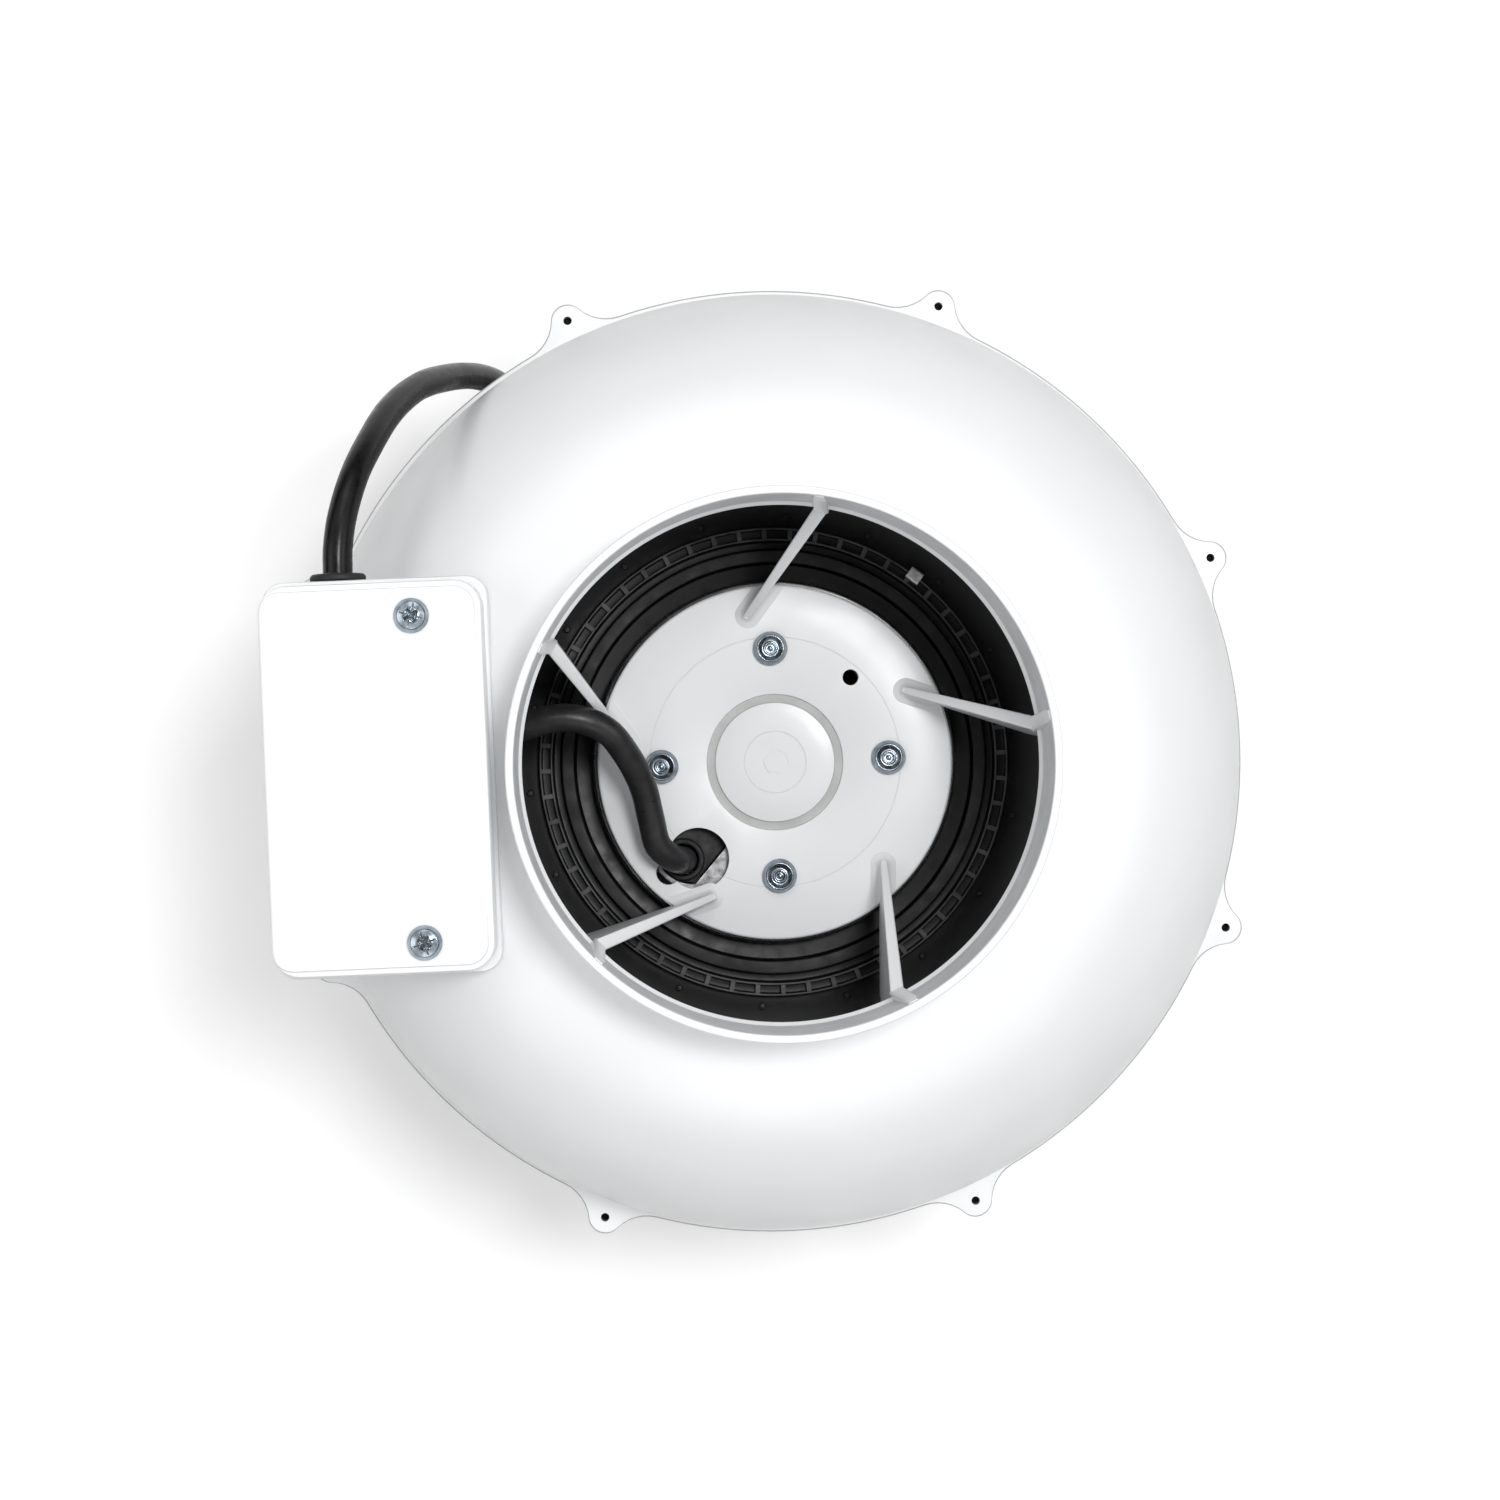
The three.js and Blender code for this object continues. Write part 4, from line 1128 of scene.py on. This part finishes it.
def make_box_lid():
    """A cap with a fine step round its face on three sides."""
    edges, bottom, top = edges_of("box_lid")
    left, right, front, back = edges
    rim = top - LID_STEP_DROP
    levels = [(0.4, bottom), (0, bottom + 0.4), (0, rim - 0.6), (0.2, rim - 0.15), (0.5, rim), (1.3, rim),
              (LID_STEP, rim + 0.1), (1.45, top - 0.5), (1.6, top - 0.2), (1.9, top - 0.05)]
    levels += [(inset, top) for inset in (2.4, 3, 3.8, 4.8, 6, 7.5, 9, 10.5, 12)]
    rings = []
    for inset, z in levels:
        outline = rounded_ring((left - min(inset, LID_STEP), right, front, back), LID_CORNER, inset)
        share = max(0.0, (z - rim) / LID_STEP_DROP)
        rings.append([(x, y, z - share * face_fall(x, y, edges)) for x, y in outline])
    lid = new_mesh("box_cap", *lofted(rings), "white_plastic")
    hollow = box_block(edges, LID_CORNER, [(BOX_WALL, bottom - 1), (BOX_WALL, top - BOX_WALL - 0.5)])
    cut(lid, hollow)
    combine(lid, lid_posts(bottom, top - 1), "UNION")
    drill(lid, lid_circles(2.1), bottom - 1, top + 1)
    smooth(lid.data, 24)
    place(lid, "white_plastic", "box_lid")


def make_box_seal():
    edges, bottom, top = edges_of("box_seal")
    levels = ((0, bottom), (0, top), (1.7, top), (1.7, bottom))
    piece("box_gasket", box_block(edges, 6, levels, closed=True), "black_rubber", "box_seal")


def make_gland():
    """The lead's bushing: a collar outside the wall, and the strain relief tapering inward behind it."""
    profile = [(3.52, 24), (4.1, 24, 0.3), (4.9, 42), (4.9, 44.5), (5.2, 44.5), (5.2, 46.7), (6.5, 46.7, 0.3),
               (6.5, 47.8, 0.4), (6, 48.3, 0.3), (4.2, 48.3, 0.3), (4.0, 47.6), (3.52, 47.6)]
    piece("lead_bushing", along_y(lathe(profile, 64), *GLAND), "black_rubber", "cable_gland")


def make_casing_grommet():
    profile = [(3.9, 100, 0.3), (5.3, 100, 0.4), (5.3, 110.8), (7.2, 110.8, 0.3), (7.2, 112.3, 0.5),
               (3.9, 112.3, 0.4)]
    piece("wall_grommet", along_x(lathe(profile, 64), *GROMMET, -1), "black_rubber", "casing_grommet")


def make_capacitor():
    bottom, top = low("capacitor")[1], high("capacitor")[1]
    length = top - bottom
    profile = [(0, 0), (8, 0, 1.2), (8, 29), (7.7, 29.5), (7.7, 30.2), (8, 30.7), (8, length, 1), (3, length, 0.2),
               (2.8, length - 0.4), (0, length - 0.4)]
    can = along_y(lathe(profile, 64), -106, 172)
    piece("capacitor_can", moved(can, Matrix.Translation((0, bottom, 0))), "capacitor_case", "capacitor")


def make_terminal_block():
    block_edges = (-96, -80, 8, 30)
    bar = new_mesh("terminal_row", *box_block(block_edges, 1, [(0.3, 182), (0, 182.3), (0, 186.7), (0.3, 187)]),
                   "grey_plastic")
    for y in (12, 19, 26):
        pole = box_block((-94.5, -81.5, y - 2.8, y + 2.8), 0.8, [(0, 186), (0, 192.2), (0.3, 192.5)])
        combine(bar, pole, "UNION")
        drill(bar, [(x, y, 1.6) for x in (-91, -85)], 189, 193)
        cut(bar, along_x(prism(circle(0, 0, 1.3, 16), -100, -70), y, 188.2))
    smooth(bar.data)
    place(bar, "grey_plastic", "terminal_block")


make_box_base()
make_box_lid()
make_box_seal()
make_gland()
make_casing_grommet()
make_capacitor()
make_terminal_block()

clip_outline = soften([(57.3, 122.6), (57.9, 122.6), (57.9, 124.4, 0.2), (60, 124.4, 0.2), (60, 122.6), (60.6, 122.6),
                       (60.6, 125, 0.5), (57.3, 125, 0.5)])
clip = lofted([[(x, y, z) for x, z in clip_outline] for y in (-1.8, 1.8)])
piece("spring_clip", turned(clip, 50.5), "bearing_steel", "balance_clip", material=CLIP_BRIGHT)


# ---- cables, tie and plug ----

MOTOR_CABLE_ROUTE = [
    (-113.5, 5, 155), (-98, 5, 155), (-85, 6, 155), (-72, 8.4, 155.2), (-61, 11.1, 156.4), (-53.9, 12.8, 157.5),
    (-47.3, 12.5, 157.6), (-40.8, 9.4, 155.6), (-36.4, 3.5, 151.4), (-32.9, -4.3, 146.5), (-31.3, -12.3, 143.6),
    (-29.8, -19.3, 141.8), (-26.6, -22.4, 139.6), (-24.1, -23.4, 135), (-23.9, -23.5, 129.5), (-23.9, -23.5, 118.5),
]
place(curve_tube("motor_cable_run", smooth_route(MOTOR_CABLE_ROUTE, 1.5), CABLE_R, MOTOR_SHEATH, 8),
      "black_cable", "motor_cable")


def make_tie():
    """A strap round both sides of the hank, its free end lapped over the top."""
    (x0, y0, z0), (x1, y1, z1) = low("cord_tie"), high("cord_tie")
    thick = 1.15
    path = rounded_ring((x0, x1, z0, z1), 6)
    inner = rounded_ring((x0, x1, z0, z1), 6, thick)
    strap = [[(bx, y0, bz), (ax, y0, az), (ax, y1, az), (bx, y1, bz)] for (ax, az), (bx, bz) in zip(path, inner)]
    tie = new_mesh("strap_band", *lofted(strap, closed=True), "tie_strap")
    bevel(tie, 0.35, 3, 32).limit_method = "ANGLE"
    bake(tie)
    smooth(tie.data)
    place(tie, "tie_strap", "cord_tie")


def make_plug():
    """A generic two-pin plug with a ribbed strain relief."""
    y, z = -98.0, 8.0
    sections = [(3, 12.5, 6.4, 4), (3.6, 13.5, 7.3, 4.5), (5.5, 16, 7.8, 5), (9, 17.8, 8, 6), (16, 17.2, 7.7, 6),
                (26, 16.4, 7.4, 6), (34, 17.3, 7.7, 5.5), (40.5, 18, 8, 5), (42.3, 17.8, 7.8, 4.5),
                (43, 16.8, 6.9, 3.6)]
    rings = []
    for x, half_y, half_z, r in sections:
        ring = rounded_ring((y - half_y, y + half_y, z - half_z, z + half_z), r)
        rings.append([(x, a, b) for a, b in ring])
    body = new_mesh("plug_body", *lofted(rings), "black_plastic")
    levels = []
    for k in range(7):
        start, r = -20 + 3.2 * k, 4.3 + 0.36 * k
        levels += [(r + dr, start + dx, corner) for dr, dx, corner in
                   ((0, 0, 0.3), (0.25, 2.0, 0.3), (-0.35, 2.2, 0.2), (-0.3, 3.0, 0.2))]
    profile = [(0, -20), *levels, (7, 3), (0, 4)]
    relief = new_mesh("plug_relief", *along_x(lathe(profile, 48, 3), y, z), "black_plastic")
    plug = place(joined(body, relief), "black_plastic", "power_plug")
    smooth(plug.data, 40)
    return plug


def make_pin(node):
    start = low(node)[0]
    y, z = middle(node)[1], (low(node)[2] + high(node)[2]) / 2
    profile = [(0, 0), (2.4, 0, 0.1), (2.4, 9.5, 0.1), (2.2, 9.6), (2.2, 17), (2.1, 18), (1.5, 19, 0.8), (0, 19)]
    pin = revolved(soften([(r, start + x, *corner) for r, x, *corner in profile]), 48)
    return piece(node + "_round", along_x(pin, y, z), "brass", node)


make_tie()
plug = make_plug()
pins = [make_pin("plug_pin_1"), make_pin("plug_pin_2")]


# ---- the CAD pieces that stay ----

for part in frame["record"]["subparts"]:
    node = frame["nodes"][part["node"]]
    node.data.materials.clear()
    node.data.materials.append(MATERIALS[part["material_slot"]])
    smooth(node.data, 30)

bevel(frame["nodes"]["stator_core"], 0.3, 2, 40)


# ---- light and floor ----

SKY = ((0.24, 0.0), (0.55, 1.02), (0.78, 0.78), (0.94, 0.66), (0.985, 0.1))
LIGHT_DISTANCE = 1.5
LIGHT_AIM = 0.1
KEY_TILT, KEY_AZIMUTH = 14, 36
SIDE_TILT = 48


def area_light(name, tilt, azimuth, size, power):
    """A light aimed at the fan, tilted from overhead towards the azimuth."""
    lean, turn = math.radians(tilt), math.radians(azimuth)
    across, up = LIGHT_DISTANCE * math.sin(lean), LIGHT_DISTANCE * math.cos(lean)
    aim = Vector((0, 0, LIGHT_AIM))
    light = bpy.data.lights.new(name, "AREA")
    light.energy = power
    light.size = size
    obj = new_object(name, light)
    obj.location = (across * math.cos(turn), across * math.sin(turn), LIGHT_AIM + up)
    obj.rotation_mode = "QUATERNION"
    obj.rotation_quaternion = (aim - obj.location).to_track_quat("-Z", "Y")


def make_world():
    """A sky that is bright all round, dark at the horizon and dimmer straight overhead."""
    world = bpy.data.worlds.new("studio")
    world.use_nodes = True
    nodes, links = world.node_tree.nodes, world.node_tree.links
    height = nodes.new("ShaderNodeSeparateXYZ")
    fade = nodes.new("ShaderNodeValToRGB")
    stops = fade.color_ramp.elements
    for _ in SKY[len(stops):]:
        stops.new(1.0)
    for stop, (position, strength) in zip(stops, SKY):
        stop.position = position
        stop.color = (strength, strength, strength, 1)
    links.new(nodes.new("ShaderNodeTexCoord").outputs["Generated"], height.inputs["Vector"])
    links.new(height.outputs["Z"], fade.inputs["Fac"])
    links.new(fade.outputs["Color"], nodes["Background"].inputs["Strength"])
    preset(nodes["Background"], {"Color": (1, 1, 1, 1)})
    bpy.context.scene.world = world


def make_stage():
    floor = new_mesh("floor", *block(-3000, 3000, -3000, 3000, -5, -0.4), floor_material())
    floor.visible_diffuse = False
    make_world()
    area_light("key", KEY_TILT, KEY_AZIMUTH, 0.3, 9.6)
    for azimuth in (0, 90, 180, 270):
        area_light("side", SIDE_TILT, azimuth, 0.7, 2.4)
    bpy.context.scene.view_settings.view_transform = "Standard"
    bpy.context.scene.view_settings.look = "None"


def floor_material():
    graph = Graph("floor", (0.9, 0.9, 0.9), 0.9, specular=0.1)
    graph.color(graph.noise(2, 2), (0.895, 0.895, 0.895), (0.905, 0.905, 0.905))
    preset(graph.shader, {"Emission Color": (1, 1, 1, 1), "Emission Strength": 0.1})
    return graph.material


make_stage()
